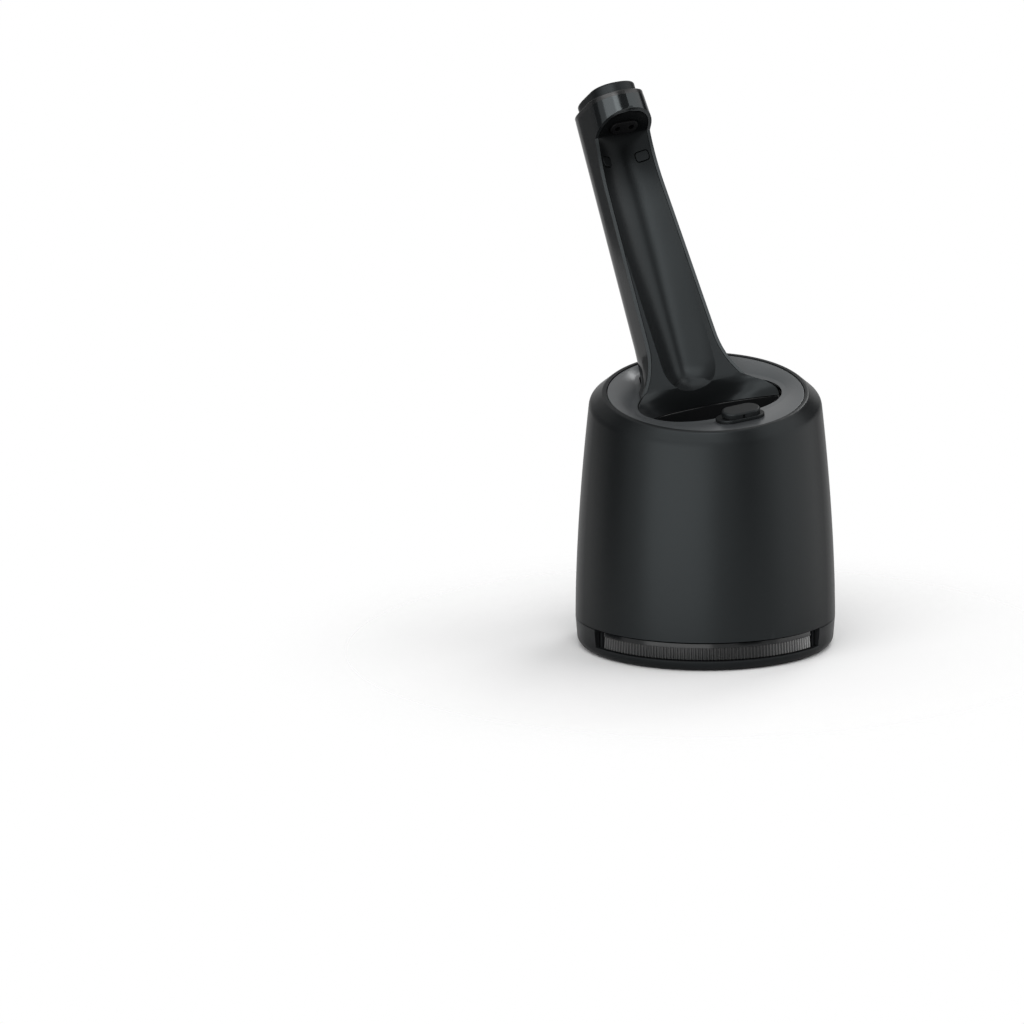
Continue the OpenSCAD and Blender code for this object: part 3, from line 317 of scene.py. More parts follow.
# Each finish has its colour, its roughness and what differs from plain moulded plastic.
LOOKS = {
    "base_black": ((0.005, 0.0055, 0.006), 0.34,
                   dict(bump=0.004, wear=0.2, spec=0.16, tint=COOL, rim=0.25)),
    "foot_rubber": ((0.02, 0.02, 0.02), 0.85, dict(grain=1500, bump=0.03)),
    "steel_bright": ((0.55, 0.56, 0.57), 0.24, dict(grain=900, bump=0.002, metal=1.0)),
    "steel_zinc": ((0.48, 0.49, 0.5), 0.36, dict(grain=600, bump=0.004, metal=1.0)),
    "tank_smoke": ((0.008, 0.0088, 0.0094), 0.16, dict(bump=0.002, glow=0.1, spec=0.22)),
    "lid_dark": ((0.03, 0.031, 0.034), 0.5, dict(bump=0.01)),
    "housing_charcoal": ((0.0052, 0.0058, 0.0062), 0.35,
                         dict(grain=3200, bump=0.005, wear=0.2, spec=0.22, tint=COOL, rim=0.17)),
    "plate_grey": ((0.043, 0.0458, 0.048), 0.3,
                   dict(grain=2600, bump=0.002, wear=0.1, tint=COOL, rim=0.45)),
    "basin_black": ((0.009, 0.0095, 0.010), 0.16, dict(grain=700, bump=0.002, spec=0.25)),
    "seal_black": ((0.012, 0.012, 0.012), 0.7, dict(bump=0.02)),
    "inner_grey": ((0.06, 0.062, 0.066), 0.5, dict(bump=0.01)),
    "motor_metal": ((0.4, 0.41, 0.42), 0.32, dict(grain=700, bump=0.003, metal=1.0)),
    "impeller_pale": ((0.6, 0.6, 0.58), 0.45, dict()),
    "hose_grey": ((0.16, 0.16, 0.17), 0.6, dict(bump=0.01)),
    "board_green": ((0.012, 0.07, 0.03), 0.4, dict(grain=500, vary=0.3)),
    "socket_black": ((0.0025, 0.0025, 0.0028), 0.4, dict(bump=0.01, spec=0.06, rim=0.3)),
    "contact_gold": ((0.70, 0.50, 0.20), 0.25, dict(bump=0.002, metal=1.0)),
    "button_black": ((0.008, 0.0087, 0.0092), 0.36,
                     dict(bump=0.004, wear=0.2, spec=0.2, tint=COOL, rim=0.1)),
    "arm_charcoal": ((0.0085, 0.0094, 0.0099), 0.15,
                     dict(grain=3200, bump=0.002, wear=0.2, spec=0.4, tint=COOL, rim=0.1)),
    "panel_charcoal": ((0.010, 0.0111, 0.0117), 0.33,
                       dict(grain=3200, bump=0.004, wear=0.2, spec=0.2, tint=COOL, rim=0.5)),
    "ring_smoke": ((0.012, 0.0124, 0.0128), 0.25, dict(bump=0.001, spec=0.4, rim=0.12)),
}
MAT = {name: finish_of(name, colour, rough, **more) for name, (colour, rough, more) in LOOKS.items()}

# ---- housing shell ----
SEAM, BASE_R, BASE_H = 0.3, 55.0, 12.0
RIM_R, RIM_W, WALL = 43.0, 1.7, 2.2
SHOULDER_H, SHOULDER_ROUND = 103.5, 1.6


def wall_r(z):
    return BASE_R - 7.3 * (np.maximum(0, arr(z) - BASE_H) / 100) ** 1.7


def wall_point(q, z, d):
    r = wall_r(z) - d
    return np.stack([r * np.cos(q), r * np.sin(q), z + 0 * q], -1)


def rim_point(q, r, z):
    return np.stack([r * np.cos(q), r * np.sin(q) * math.cos(TILT) - z * math.sin(TILT) - RIM_SHIFT,
                     r * np.sin(q) * math.sin(TILT) + z * math.cos(TILT) + RIM_H], -1)


def shell_rows_of(q, d):
    z = SHOULDER_H + math.tan(math.radians(12.5)) * wall_r(SHOULDER_H) * np.sin(q) - d
    a, b = wall_point(q, z - SHOULDER_ROUND, d), wall_point(q, z, d)
    foot = BASE_H + SEAM
    rows = [wall_point(q, mix(foot, z - SHOULDER_ROUND, i / 16), d) for i in range(16)]
    if d == 0:
        rim = rim_point(q, RIM_R, 0)
        c = b + SHOULDER_ROUND * unit(rim - b)
        rows += [bend(a, b, c, i / 8) for i in range(9)]
        rows += [mix(c, rim - 0.8 * unit(rim - b), k) for k in (0.5, 1)]
        p, s = rim - 0.8 * unit(rim - b), rim_point(q, RIM_R - 0.8, 0)
        rows += [bend(p, rim + [0, 0, 0.04], s, k) for k in (0.25, 0.5, 0.75, 1)]
        rows += [rim_point(q, RIM_R - RIM_W + 0.2, 0), rim_point(q, RIM_R - RIM_W, -0.2)]
    else:
        rim = rim_point(q, RIM_R - RIM_W, -4)
        c = mix(b, rim, 0.4)
        rows += [bend(a, b, c, i / 8) for i in range(9)]
        rows += [mix(c, rim, 0.5), rim]
    return rows


Q = np.linspace(0, 2 * math.pi, 240, endpoint=False)
housing = loft("housing_shell_skin", shell_rows_of(Q, 0) + shell_rows_of(Q, WALL)[::-1], ring=True)
SOCKET_Z, BUTTON_Z = 23.0, 48.0


def back_prism(name, w, h, z, y0=40.0, y1=62.0, r=1.0):
    """A cutter through the housing's back."""
    p = rounded_box(w, h, r)
    return loft(name, [np.stack([p[:, 0], np.full(len(p), y), p[:, 1] + z], 1) for y in (y0, y1)])


cut(housing, back_prism("button_opening", 24.6, 12.6, BUTTON_Z, r=1.2))
cut(housing, back_prism("socket_opening", 17, 12, SOCKET_Z, r=0.8))
place(edges(housing, 0.22, 2), "housing", ["housing_shell"], "housing_charcoal")

# ---- plate and basin ----
PLATE_R = RIM_R - RIM_W - 0.25
HALF = [[8, -23.4], [16, -22.2], [24, -18.9], [29.5, -14], [32.6, -8], [33.2, -2.5], [31.6, 3], [28.3, 8],
        [24.4, 12.2], [21.3, 16.6], [19.2, 21.8], [17.6, 27], [14.9, 32.2], [9.2, 36.2]]
OPEN = closed_curve([[0, -23.6]] + HALF + [[0, 37.9]] + [[-x, y] for x, y in HALF[::-1]], 8)
EDGE = PLATE_R * unit(OPEN)


def plate_row(k, rise):
    return at_z(mix(EDGE, OPEN, k), -0.35 - 2.2 * k ** 1.5 - rise)


def lip_row(d, z):
    return at_z(inset(OPEN, -d), z)


ks = [0, 0.03, 0.1, 0.2, 0.3, 0.4, 0.5, 0.6, 0.7, 0.8, 0.86]
ROLL, PLATE_WALL, BASIN_WALL = 1.1, 1.8, 1.8
roll = [lip_row(ROLL * (math.sin(a) - 1), -2.35 - ROLL * (1 - math.cos(a)))
        for a in np.radians([8, 20, 35, 50, 65, 80, 90])]
face = [plate_row(k, 0) for k in ks] + roll
lip = [lip_row(0, -3.7), lip_row(0.7, -4.4)]
back = [plate_row(k, PLATE_WALL) for k in ks[::2]] + [lip_row(1.4, -4.7)]
plate = loft("top_plate_skin", [top(r) for r in face + lip + back[::-1]], ring=True)
cut(plate, prism("spout_hole", circle(2.25, 32, 0, -29.5), -8, 4, top))
place(edges(plate, 0.15, 2, 40), "housing", ["top_plate"], "plate_grey")


def apron_edge(x):
    k = np.abs(arr(x) / 31) ** 3
    return np.stack([arr(x), 11 - 19 * k, -12 + 7 * k], -1)


front = inset(OPEN, 2.2)
front = front[front[:, 1] < -8]
left, right = front[front[:, 0] < -0.01], front[front[:, 0] > 0.01]
rear = apron_edge(np.arange(29.5, -30, -1.0)) + [0, -0.2, -0.3]
BASIN = np.concatenate([at_z(left, -5), at_z(right, -5), rear])
MID = arr([0, -5])
FLOOR = -26.0


def basin_row(k, z, d, drop):
    v = BASIN[:, :2] - MID
    w = MID + v * (1 + d / np.linalg.norm(v, axis=1, keepdims=True)) * k
    return np.concatenate([w, (mix(BASIN[:, 2], FLOOR, z) - drop)[:, None]], 1)


steps = open_curve([[1, 0, 0], [0.985, 0.4, 0], [0.94, 0.75, 0], [0.83, 0.93, 0.6], [0.6, 1, 1]], 5)
drain = np.concatenate([MID + 4.0 * unit(BASIN[:, :2] - MID), np.full((len(BASIN), 1), FLOOR - 0.4)], 1)


def basin_rows(d, drop):
    rows = [basin_row(k, z, d, drop * s) for k, z, s in steps]
    return [top(r) for r in rows + [mix(rows[-1], drain - [0, 0, drop], 0.5), drain - [0, 0, drop]]]


basin = loft("wash_tray_skin", basin_rows(0, 0) + basin_rows(BASIN_WALL, BASIN_WALL)[::-1], ring=True)
place(edges(basin, 0.3, 2, 40), "housing", ["wash_tray"], "basin_black")

# ---- spout ----
SPOUT_Y = -29.2


def at_spout(p):
    p = arr(p)
    return top(p + [0, SPOUT_Y, 0])


def at_flange(p):
    p, s = arr(p), math.radians(-7.5)
    y = p[..., 1] * math.cos(s) - p[..., 2] * math.sin(s)
    z = p[..., 1] * math.sin(s) + p[..., 2] * math.cos(s)
    return top(np.stack([p[..., 0], y + SPOUT_Y + 0.5, z - 1.35], -1))


cap = prism("spout_cap", stadium(16.8, 9), 0.6, 3.0, at_spout, 0.8)
notch_plan = rounded_box(1.1, 3.4, 0.2) + [-1.0, -4.6]
notch = loft("spout_notch", [at_spout(at_z(notch_plan, z)) for z in (0.2, 2.0)])
cut(cap, notch)
edges(cap, 0.12, 2)
neck = prism("spout_neck", stadium(14.8, 7), -0.9, 0.7, at_spout)
flange = prism("spout_flange", stadium(21.4, 11), 0, 1.3, at_flange, 0.35)
pipe = prism("spout_pipe", circle(2, 32, 0, -0.3), -9, 0, at_spout)
for o, nodes in ((cap, ["fluid_spout"]), (join("spout_body", [neck, flange, pipe]), [])):
    if not nodes:
        edges(o, 0.1, 2)
    place(o, "housing", nodes, "button_black")

# ---- arm ----
HOOD_H, REACH, HOOD_SIDE = 124.5, 17.0, 5.0
FLARE, FLARE_H, ARM_WALL = 6.3, 20, 1.5
FOOT_HALF, HEAD_HALF, FOOT_DEEP, HEAD_DEEP = 17.8, 12.6, 22, 20
LIP_START, LIP_CORNER, LIP_TOP = HOOD_H - 36.5, HOOD_H - 13.5, HOOD_H - 6.6


def flare(t):
    return FLARE * max(0, 1 - t / FLARE_H) ** 2.2


def plain_half(t):
    return mix(FOOT_HALF, HEAD_HALF, t / HOOD_H)


def arm_half(t):
    return plain_half(t) + flare(t)


def hood_half(t, f, d):
    k = np.minimum(1, np.maximum(0, f - HOOD_SIDE) / (REACH - d - HOOD_SIDE))
    return (arm_half(t) - d) * (1 - k ** 2.2) ** (1 / 2.2)


def lip_reach(t):
    if t < LIP_START:
        return 0.0
    if t < LIP_CORNER:
        return 3.5 * ((t - LIP_START) / (LIP_CORNER - LIP_START)) ** 2
    return mix(3.5, REACH, min(1, (t - LIP_CORNER) / (LIP_TOP - LIP_CORNER)))


def arm_ring(t, d, fine=16, rear=20):
    reach = min(lip_reach(t), REACH - d)
    w, deep = plain_half(t) - d, mix(FOOT_DEEP, HEAD_DEEP, t / HOOD_H) - d - 1
    f = mix(-1, reach, np.sin(math.pi / 2 * np.arange(1, fine + 1) / fine))
    side = np.stack([np.maximum(0.02, hood_half(t, f, d)), -f], 1)
    q = math.pi / 2 * np.arange(0, 2 * rear + 1) / rear
    c, y = np.cos(q), 1 + deep * np.abs(np.sin(q)) ** (2 / 3)
    spread = flare(t) * np.exp(-((y - 1) / 7.5) ** 2)
    spread[rear] = 0
    x = np.sign(c) * (w * np.abs(c) ** (2 / 3) + spread)
    x[rear] = 0
    return np.concatenate([side[::-1], np.stack([x, y], 1), side * [-1, 1]])


# Heights along the arm, each with how far its row follows the plate's plane at the foot.
ROWS = [[-1.5 / math.cos(LEAN), 1], [2, 0.8], [6.5, 0.6], [12, 0.4], [17, 0.2]]
ROWS += [[t, 0] for t in (
    22, 30, 45, 62, 78, LIP_START, LIP_START + 8, LIP_START + 14, LIP_START + 19, LIP_CORNER,
    LIP_CORNER + 2, LIP_CORNER + 4, LIP_CORNER + 5.7, LIP_TOP + 0.1, HOOD_H - 3, HOOD_H)]
fine_rows = [mix(arr(a), arr(b), j / 3) for a, b in zip(ROWS, ROWS[1:]) for j in range(3)]
fine_rows.append(arr(ROWS[-1]))


def arm_grid(d):
    got = []
    for t, k in fine_rows:
        p = arm_ring(t, d)
        got.append(arm(np.stack([p[:, 0], p[:, 1], t + k * np.maximum(0, p[:, 1]) * math.tan(LEAN)], 1)))
    return got


rear_shell = sheet_wall("arm_rear_skin", arm_grid(0), arm_grid(ARM_WALL))
place(edges(rear_shell, 0.3, 3, 40), "housing", ["arm_rear_shell"], "arm_charcoal")

# ---- front panel ----
INLAY = 1.75
TOE, TOE_RUN, FULL = 9, 13.2, 60  # the groove's rounded lower end, and where it fills the panel


def groove_k(t):
    return math.sqrt(max(0, 1 - (max(0, TOE - t) / TOE_RUN) ** 2))


def groove_deep(t):
    return groove_k(t) * mix(9.5, 5.0, min(1, max(0, t - TOE) / 80))


def groove_half(t):
    if t > FULL:
        return arm_half(t) - INLAY
    return groove_k(t) * mix(12.5, arm_half(FULL) - INLAY, max(0, t - TOE) / (FULL - TOE))


def hump(x, w):
    return np.maximum(0, 1 - (x / w) ** 2) if w > 0.01 else 0 * x


def columns(w, g):
    """Half widths across the panel, with a column along the groove's edge."""
    g = min(g, 0.985 * w)
    half = np.concatenate([g * np.sin(math.pi / 2 * np.linspace(0, 1, 17)), np.linspace(g, w, 8)[1:]])
    return np.concatenate([-half[:0:-1], half])


def thin(u):
    return 1 - 0.75 * np.abs(u) ** 8


APRON = [[[31, -8, -5], [0, 11, -12]], [[32.1, -3, -3.5], [0, 10.5, -9]], [[30.2, 2.5, -2.4], [0, 10, -6]],
         [[26.8, 6.3, -1.3], [0, 9.7, -3]], [[arm_half(0.5) - INLAY, 10, 0.4], [0, 9.5, -0.6]]]
ARM_T = [1, 2.5, 5, 8.5, 12, 16.5, 22, 32, 45, 60, 75, LIP_START]
HOOD = [[LIP_START + 7, -5, LIP_START + 7, 5], [LIP_START + 13, -4.6, LIP_START + 13, 12],
        [LIP_START + 18, -3.3, LIP_START + 18, 25], [LIP_START + 21.3, -1.2, LIP_START + 21.8, 45],
        [LIP_CORNER + 0.1, 1.6, LIP_CORNER + 1.2, 55], [LIP_CORNER + 1.5, 5.2, LIP_CORNER + 2.7, 60],
        [LIP_CORNER + 3.1, 8.6, LIP_CORNER + 4, 60], [LIP_CORNER + 4.5, 11.8, LIP_CORNER + 5.1, 60],
        [LIP_CORNER + 5.6, 14.2, LIP_CORNER + 5.9, 60], [LIP_CORNER + 6, 15, LIP_CORNER + 6.1, 60]]


def apron_row(r, d):
    a, b = r[:3], r[3:]
    t = b[2] / math.cos(LEAN)
    x = columns(a[0], max(groove_half(t), 0.02))
    u = x / a[0]
    k = np.abs(u) ** 3
    g = groove_deep(t) * hump(x, groove_half(t))
    return np.stack([x, mix(b[1], a[1], k) + g + d * thin(u), mix(b[2], a[2], k)], 1)


def arm_row(t, d):
    x = columns(arm_half(t) - INLAY, groove_half(t))
    return arm_top(np.stack([x, d + groove_deep(t) * hump(x, groove_half(t)), t + 0 * x], 1))


def hood_row(r, d):
    t, f = r[0], min(lip_reach(r[0]), REACH - INLAY - 0.3)
    w = float(hood_half(t, arr(f), INLAY + 0.1)) if f > HOOD_SIDE else arm_half(t) - INLAY
    x = columns(w, w)
    k = hump(x / w, 1.0001)
    return arm_top(np.stack([x, mix(-f, -r[1], k) + d * math.cos(math.radians(r[3])),
                             mix(t, r[2], k) + d * math.sin(math.radians(r[3]))], 1))


apron_fine = open_curve([a + b for a, b in APRON], 6)[:-1]
arm_fine = [mix(a, b, j / 4) for a, b in zip(ARM_T, ARM_T[1:]) for j in range(4)] + [LIP_START]
hood_fine = open_curve([[LIP_START, -5.0, LIP_START, 0]] + HOOD, 4)[1:]


def panel_grid(d):
    last = apron_row(arr(APRON[-1][0] + APRON[-1][1]), d)
    rows = [apron_row(r, d) for r in apron_fine] + [last]
    rows += [arm_row(t, d) for t in arm_fine] + [hood_row(r, d) for r in hood_fine]
    return [top(r) for r in rows]


panel = sheet_wall("arm_panel_skin", panel_grid(0), panel_grid(ARM_WALL))
PLUG_T, PAD_T, CONTACT_X = LIP_CORNER + 2.9, LIP_START + 13.5, 3.3


def turned(p, axis, deg):
    p, s, c = arr(p), math.sin(math.radians(deg)), math.cos(math.radians(deg))
    i, j = {"x": (1, 2), "z": (0, 1), "y": (2, 0)}[axis]
    q = p.copy()
    q[..., i], q[..., j] = p[..., i] * c - p[..., j] * s, p[..., i] * s + p[..., j] * c
    return q


def at_plug(p):
    return arm(turned(p, "x", 150) + [0, -6, PLUG_T])


def at_pad(s):
    return lambda p: arm(turned(turned(p, "x", 90), "z", -s * 33) + [s * 8.4, 1.3, PAD_T])


cut(panel, prism("plug_opening", stadium(13.5, 7), -6, 8, at_plug))
for s in (-1, 1):
    cut(panel, prism("pad_pocket", rounded_box(6.3, 4.8, 1.55), -4, 4, at_pad(s)))


def painted_shade_up(m, low, high, least):
    """Painted shade: the trough's colour is darkened and its shine lowered towards its top, under the hood.
    """
    t = m.node_tree
    b = t.nodes["Principled BSDF"]
    foot, head = arm([0, 0, 0]), arm([0, 0, 1])
    co, along = t.nodes.new("ShaderNodeTexCoord"), t.nodes.new("ShaderNodeVectorMath")
    along.operation = "DOT_PRODUCT"
    along.inputs[1].default_value = list(head - foot)
    t.links.new(co.outputs["Object"], along.inputs[0])
    k, base = t.nodes.new("ShaderNodeMapRange"), float(np.dot(foot, head - foot))
    k.interpolation_type = "SMOOTHSTEP"
    low, high = (base + low) / 1000, (base + high) / 1000
    for name, v in (("From Min", low), ("From Max", high), ("To Min", 1), ("To Max", least)):
        k.inputs[name].default_value = v
    t.links.new(along.outputs["Value"], k.inputs["Value"])
    colour, shine = t.nodes.new("ShaderNodeVectorMath"), t.nodes.new("ShaderNodeMath")
    colour.operation, shine.operation = "SCALE", "MULTIPLY"
    for node, out, socket in ((colour, "Vector", "Base Color"), (shine, "Value", "Specular IOR Level")):
        t.links.new(b.inputs[socket].links[0].from_socket, node.inputs[0])
        t.links.new(k.outputs["Result"], node.inputs["Scale" if node == colour else 1])
        t.links.new(node.outputs[out], b.inputs[socket])


# painted shade on the panel's trough, darker and duller towards its top under the hood
painted_shade_up(MAT["panel_charcoal"], 78, 106, 0.3)
place(edges(panel, 0.12, 2, 40), "housing", ["arm_front_panel"], "panel_charcoal")
pads = [prism("pad", rounded_box(5.8, 4.3, 1.3), -1.6, 0.2, at_pad(s), 0.3) for s in (-1, 1)]
place(edges(join("panel_pads_skin", pads), 0.05, 1), "housing", ["panel_pads"], "panel_charcoal")

# ---- plug ----
plug = prism("charging_plug_skin", stadium(13, 6.5), -4, 1.6, at_plug, 0.6)
for s in (-1, 1):
    cut(plug, prism("contact_hole", circle(1.2, 32, s * CONTACT_X), -3, 5, at_plug))
place(edges(plug, 0.1, 2), "housing", ["charging_plug"], "socket_black")
sleeves = []
for s in (-1, 1):
    outer, inner = circle(1.19, 32, s * CONTACT_X), circle(0.85, 32, s * CONTACT_X)
    rows = [at_z(outer, -3), at_z(outer, -1.9), at_z(inner, -1.9), at_z(inner, -2.4)]
    sleeves.append(loft("sleeve", [at_plug(r) for r in rows]))
place(edges(join("contact_sleeves_skin", sleeves), 0.06, 2), "housing", ["contact_sleeves"], "contact_gold")


# ---- light ring and start button ----
def hood_plan(d):
    p = arm_ring(HOOD_H, d, 24, 28)
    return p[::-1] if np.cross(p[1] - p[0], p[2] - p[0]) < 0 else p


def plan_inset(d, z):
    return arm(at_z(hood_plan(d), z))


rows = [plan_inset(0.1, HOOD_H), plan_inset(0.1, HOOD_H + 1.7), plan_inset(0.2, HOOD_H + 1.9),
        plan_inset(0.4, HOOD_H + 2), plan_inset(2.25, HOOD_H + 2), plan_inset(2.25, HOOD_H)]
ring = loft("light_ring_skin", rows, ring=True)
place(edges(ring, 0.05, 1, 50), "housing", ["light_ring"], "ring_smoke")

CAP_TOP = HOOD_H + 7
rows = [plan_inset(1.85, HOOD_H - 1), plan_inset(1.85, HOOD_H - 0.1), plan_inset(2.5, HOOD_H - 0.1)]
rows += [plan_inset(2.5 + 1.1 * (1 - math.cos(q)), CAP_TOP - 1.2 + 1.0 * math.sin(q))
         for q in np.linspace(0, math.pi / 2, 6)]
centre = hood_plan(2.5).mean(0)
for k in (0.8, 0.55, 0.3, 0.08):
    p = centre + (hood_plan(3.6) - centre) * k
    rows.append(arm(at_z(p, CAP_TOP - 0.2 + 0.18 * (1 - k * k))))
under = [plan_inset(4, HOOD_H - 1), plan_inset(4, CAP_TOP - 1.5)]
cap = loft("start_button_skin", under[::-1] + rows)
place(edges(cap, 0.12, 2, 40), "start_button", ["start_button"], "button_black")

# ---- base ----
FOOT_ROUND, TRAY_WALL, TRAY_FLOOR = 4, 2.4, 3
POST_X, POST_Y = 31, 28
q = np.linspace(-math.pi / 2, 0, 13)
foot = BASE_R - 0.6 - FOOT_ROUND
profile = [[1, 0], [foot, 0]]
profile += [[foot + FOOT_ROUND * math.cos(a), FOOT_ROUND + FOOT_ROUND * math.sin(a)] for a in q[1:]]
profile += [[BASE_R - 0.3, 8], [BASE_R - 0.02, BASE_H - 0.3], [BASE_R - 0.25, BASE_H],
            [BASE_R - TRAY_WALL, BASE_H], [BASE_R - TRAY_WALL, TRAY_FLOOR], [1, TRAY_FLOOR]]
tray = loft("base_tray_skin", [at_z(circle(r, 240), z) for r, z in profile])
a = np.radians(np.linspace(-148, -32, 117))
plan = np.concatenate([np.stack([70 * np.cos(a), 70 * np.sin(a)], 1),
                       np.stack([46.3 * np.cos(a[::-1]), 46.3 * np.sin(a[::-1])], 1)])
cut(tray, loft("window", [at_z(plan, 4.4), at_z(plan, 20)]))
pockets = [(43 * math.cos(v), 43 * math.sin(v), 5.25, 1.5) for v in np.radians([60, 120, 225, 315])]
pockets += [(s * POST_X, POST_Y, 3.2, 1.6) for s in (-1, 1)]
for x, y, r, z in pockets:
    cut(tray, prism("foot_pocket", circle(r, 48, x, y), -1, z))
extra = []
for s in (-1, 1):
    box = rounded_box(1.4, 2.8, 0.1) + [0, -51.2]
    v = math.radians(s * 56.6)
    box = box @ arr([[math.cos(v), math.sin(v)], [-math.sin(v), math.cos(v)]])
    extra.append(prism("stop", box, 2.9, 10.9))
    extra.append(prism("keeper", rounded_box(3, 3, 0.3) + [s * 14, 35.5], 2.9, 11, roundness=0.25))
    boss = [at_z(circle(r, 64, s * POST_X, POST_Y), z)
            for r, z in ((6.2, 2.9), (6.2, 8.8), (6.0, 9), (4.02, 9), (4.02, 3.1))]
    extra.append(loft("boss", boss))
tray = join("base_tray_skin", [tray] + extra)
place(edges(tray, 0.25, 2, 40), "base", ["base_tray"], "base_black")

# ---- cartridge ----
CART_R, CART_HALF, CART_BACK, CART_WALL, CART_TOP = 49.3, 43, 20, 1.5, 46.3
SKIRT_R, SKIRT_INNER, SKIRT_FOOT, SKIRT_H, SKIRT_SPAN = 53.3, 48.6, 4.75, 4.9, 53.5
RIB_PITCH, RIB_DEPTH, RIBS = 1.6, 0.45, 33  # degrees, mm, ribs to each side of the middle one


def cart_plan(shrink):
    r, w, b = CART_R - shrink, CART_HALF - shrink, CART_BACK - shrink
    a0 = math.acos(w / r)
    arc = np.linspace(-math.pi + a0, -a0, 120)
    rear = [[w, b - 3], [w - 0.9, b - 0.9], [w - 3, b], [3 - w, b], [0.9 - w, b - 0.9], [-w, b - 3]]
    return np.concatenate([np.stack([r * np.cos(arc), r * np.sin(arc)], 1), rear])


outer, inner = cart_plan(0), cart_plan(CART_WALL)
rows = [at_z(inset(outer, 0.5), 3.3), at_z(outer, 3.8), at_z(outer, CART_TOP), at_z(inner, CART_TOP),
        at_z(inner, 4.8)]
tank = loft("tank", rows)
ribs = []
for i in range(-RIBS, RIBS + 1):
    for k, r in ((-0.5, 0), (-0.30, 0), (-0.20, 0.85), (-0.12, 1), (0.12, 1), (0.20, 0.85), (0.30, 0)):
        v, far = math.radians(-90 + (i + k) * RIB_PITCH), SKIRT_R - RIB_DEPTH * (1 - r)
        ribs.append([far * math.cos(v), far * math.sin(v)])
v = np.radians(np.linspace(-90 + SKIRT_SPAN, -90 - SKIRT_SPAN, 80))
inner_arc = [[SKIRT_INNER * math.cos(a), SKIRT_INNER * math.sin(a)] for a in v]
band = arr(ribs + inner_arc)
skirt = loft("skirt", [at_z(band, SKIRT_FOOT), at_z(band * [0.993, 0.993], SKIRT_FOOT + SKIRT_H)])
v = np.radians(np.linspace(-90 - SKIRT_SPAN, -90 + SKIRT_SPAN, 160))
r = SKIRT_R - 0.1
strip = np.concatenate([np.stack([r * np.cos(v), r * np.sin(v)], 1), arr(inner_arc)])
strip = loft("strip", [at_z(strip, 9.6), at_z(strip * 0.996, 11.3), at_z(inset(strip * 0.996, 0.15), 11.53)])
cart = join("cartridge_skin", [tank, skirt, strip])


def painted_rib_light(m):
    """Painted light on the skirt's clear ribs: paler crests and paler ends, most of all towards the window's
    right end.
    """
    t = m.node_tree
    b = t.nodes["Principled BSDF"]

    def calc(op, a, c=0.0):
        k = t.nodes.new("ShaderNodeMath")
        k.operation = op
        for i, v in enumerate((a, c)):
            if hasattr(v, "links"):
                t.links.new(v, k.inputs[i])
            else:
                k.inputs[i].default_value = v
        return k.outputs["Value"]

    co, part = t.nodes.new("ShaderNodeTexCoord"), t.nodes.new("ShaderNodeSeparateXYZ")
    t.links.new(co.outputs["Object"], part.inputs["Vector"])
    x, y = part.outputs["X"], part.outputs["Y"]
    far = calc("SQRT", calc("ADD", calc("MULTIPLY", x, x), calc("MULTIPLY", y, y)))
    wave = calc("SINE", calc("MULTIPLY", calc("ARCTAN2", y, x), 360 / RIB_PITCH))
    crest = calc("ADD", calc("MULTIPLY", wave, -0.5), 0.5)
    # painted light: the skirt's two ends paler than its middle, the right end most
    ramp = t.nodes.new("ShaderNodeValToRGB")
    stops = ramp.color_ramp.elements
    stops[0].position, stops[0].color = 0.08, (0.09, 0.09, 0.09, 1)
    stops[1].position, stops[1].color = 0.92, (0.42, 0.42, 0.42, 1)
    for at, v in ((0.26, 0.03), (0.5, 0.014), (0.7, 0.03), (0.84, 0.16)):
        stops.new(at).color = (v, v, v, 1)
    t.links.new(calc("ADD", calc("MULTIPLY", calc("DIVIDE", x, far), 0.5), 0.5), ramp.inputs["Fac"])
    on = calc("MULTIPLY", calc("GREATER_THAN", far, 0.051), calc("LESS_THAN", part.outputs["Z"], 0.0096))
    painted_light = t.nodes.new("ShaderNodeMix")
    painted_light.data_type = "RGBA"
    t.links.new(calc("MULTIPLY", on, calc("ADD", calc("MULTIPLY", crest, 0.8), 0.1)), painted_light.inputs["Factor"])
    t.links.new(b.inputs["Base Color"].links[0].from_socket, painted_light.inputs["A"])
    t.links.new(ramp.outputs["Color"], painted_light.inputs["B"])
    t.links.new(painted_light.outputs["Result"], b.inputs["Base Color"])


# painted light on the cartridge skirt's ribs
painted_rib_light(MAT["tank_smoke"])
place(edges(cart, 0.08, 1, 40), "base", ["cartridge_tank"], "tank_smoke")

# ---- lift button and socket ----
FINGER_R = 30.2  # the hollow for the fingertip
gx, gz = np.meshgrid(np.linspace(-12, 12, 61), np.linspace(-6, 6, 33))
R = float(wall_r(BUTTON_Z))
y = np.minimum(np.sqrt((R - 0.2) ** 2 - gx ** 2), R + 29 - np.sqrt(FINGER_R ** 2 - gx ** 2 - gz ** 2))
face = np.stack([gx, y, gz + BUTTON_Z], -1)
back = np.stack([gx, np.full_like(gx, 44.6), gz + BUTTON_Z], -1)
press = sheet_wall("press", face, back)
box = rounded_box(22.6, 14.6, 1)
rim = loft("rim", [np.stack([box[:, 0], np.full(len(box), v), box[:, 1] + BUTTON_Z], 1)
                   for v in (44.6, 46)])
button = join("lift_button_skin", [press, rim])
place(edges(button, 0.5, 3, 40), "lift_button", ["lift_button"], "button_black")

SR = float(wall_r(SOCKET_Z)) - 0.3
p = rounded_box(16.7, 11.7, 0.8, 12)
inner = stadium(14, 8, 24)


def on_back(o, y):
    yy = np.sqrt(SR ** 2 - o[:, 0] ** 2) if y is None else np.full(len(o), y)
    return np.stack([o[:, 0], yy, o[:, 1] + SOCKET_Z], 1)


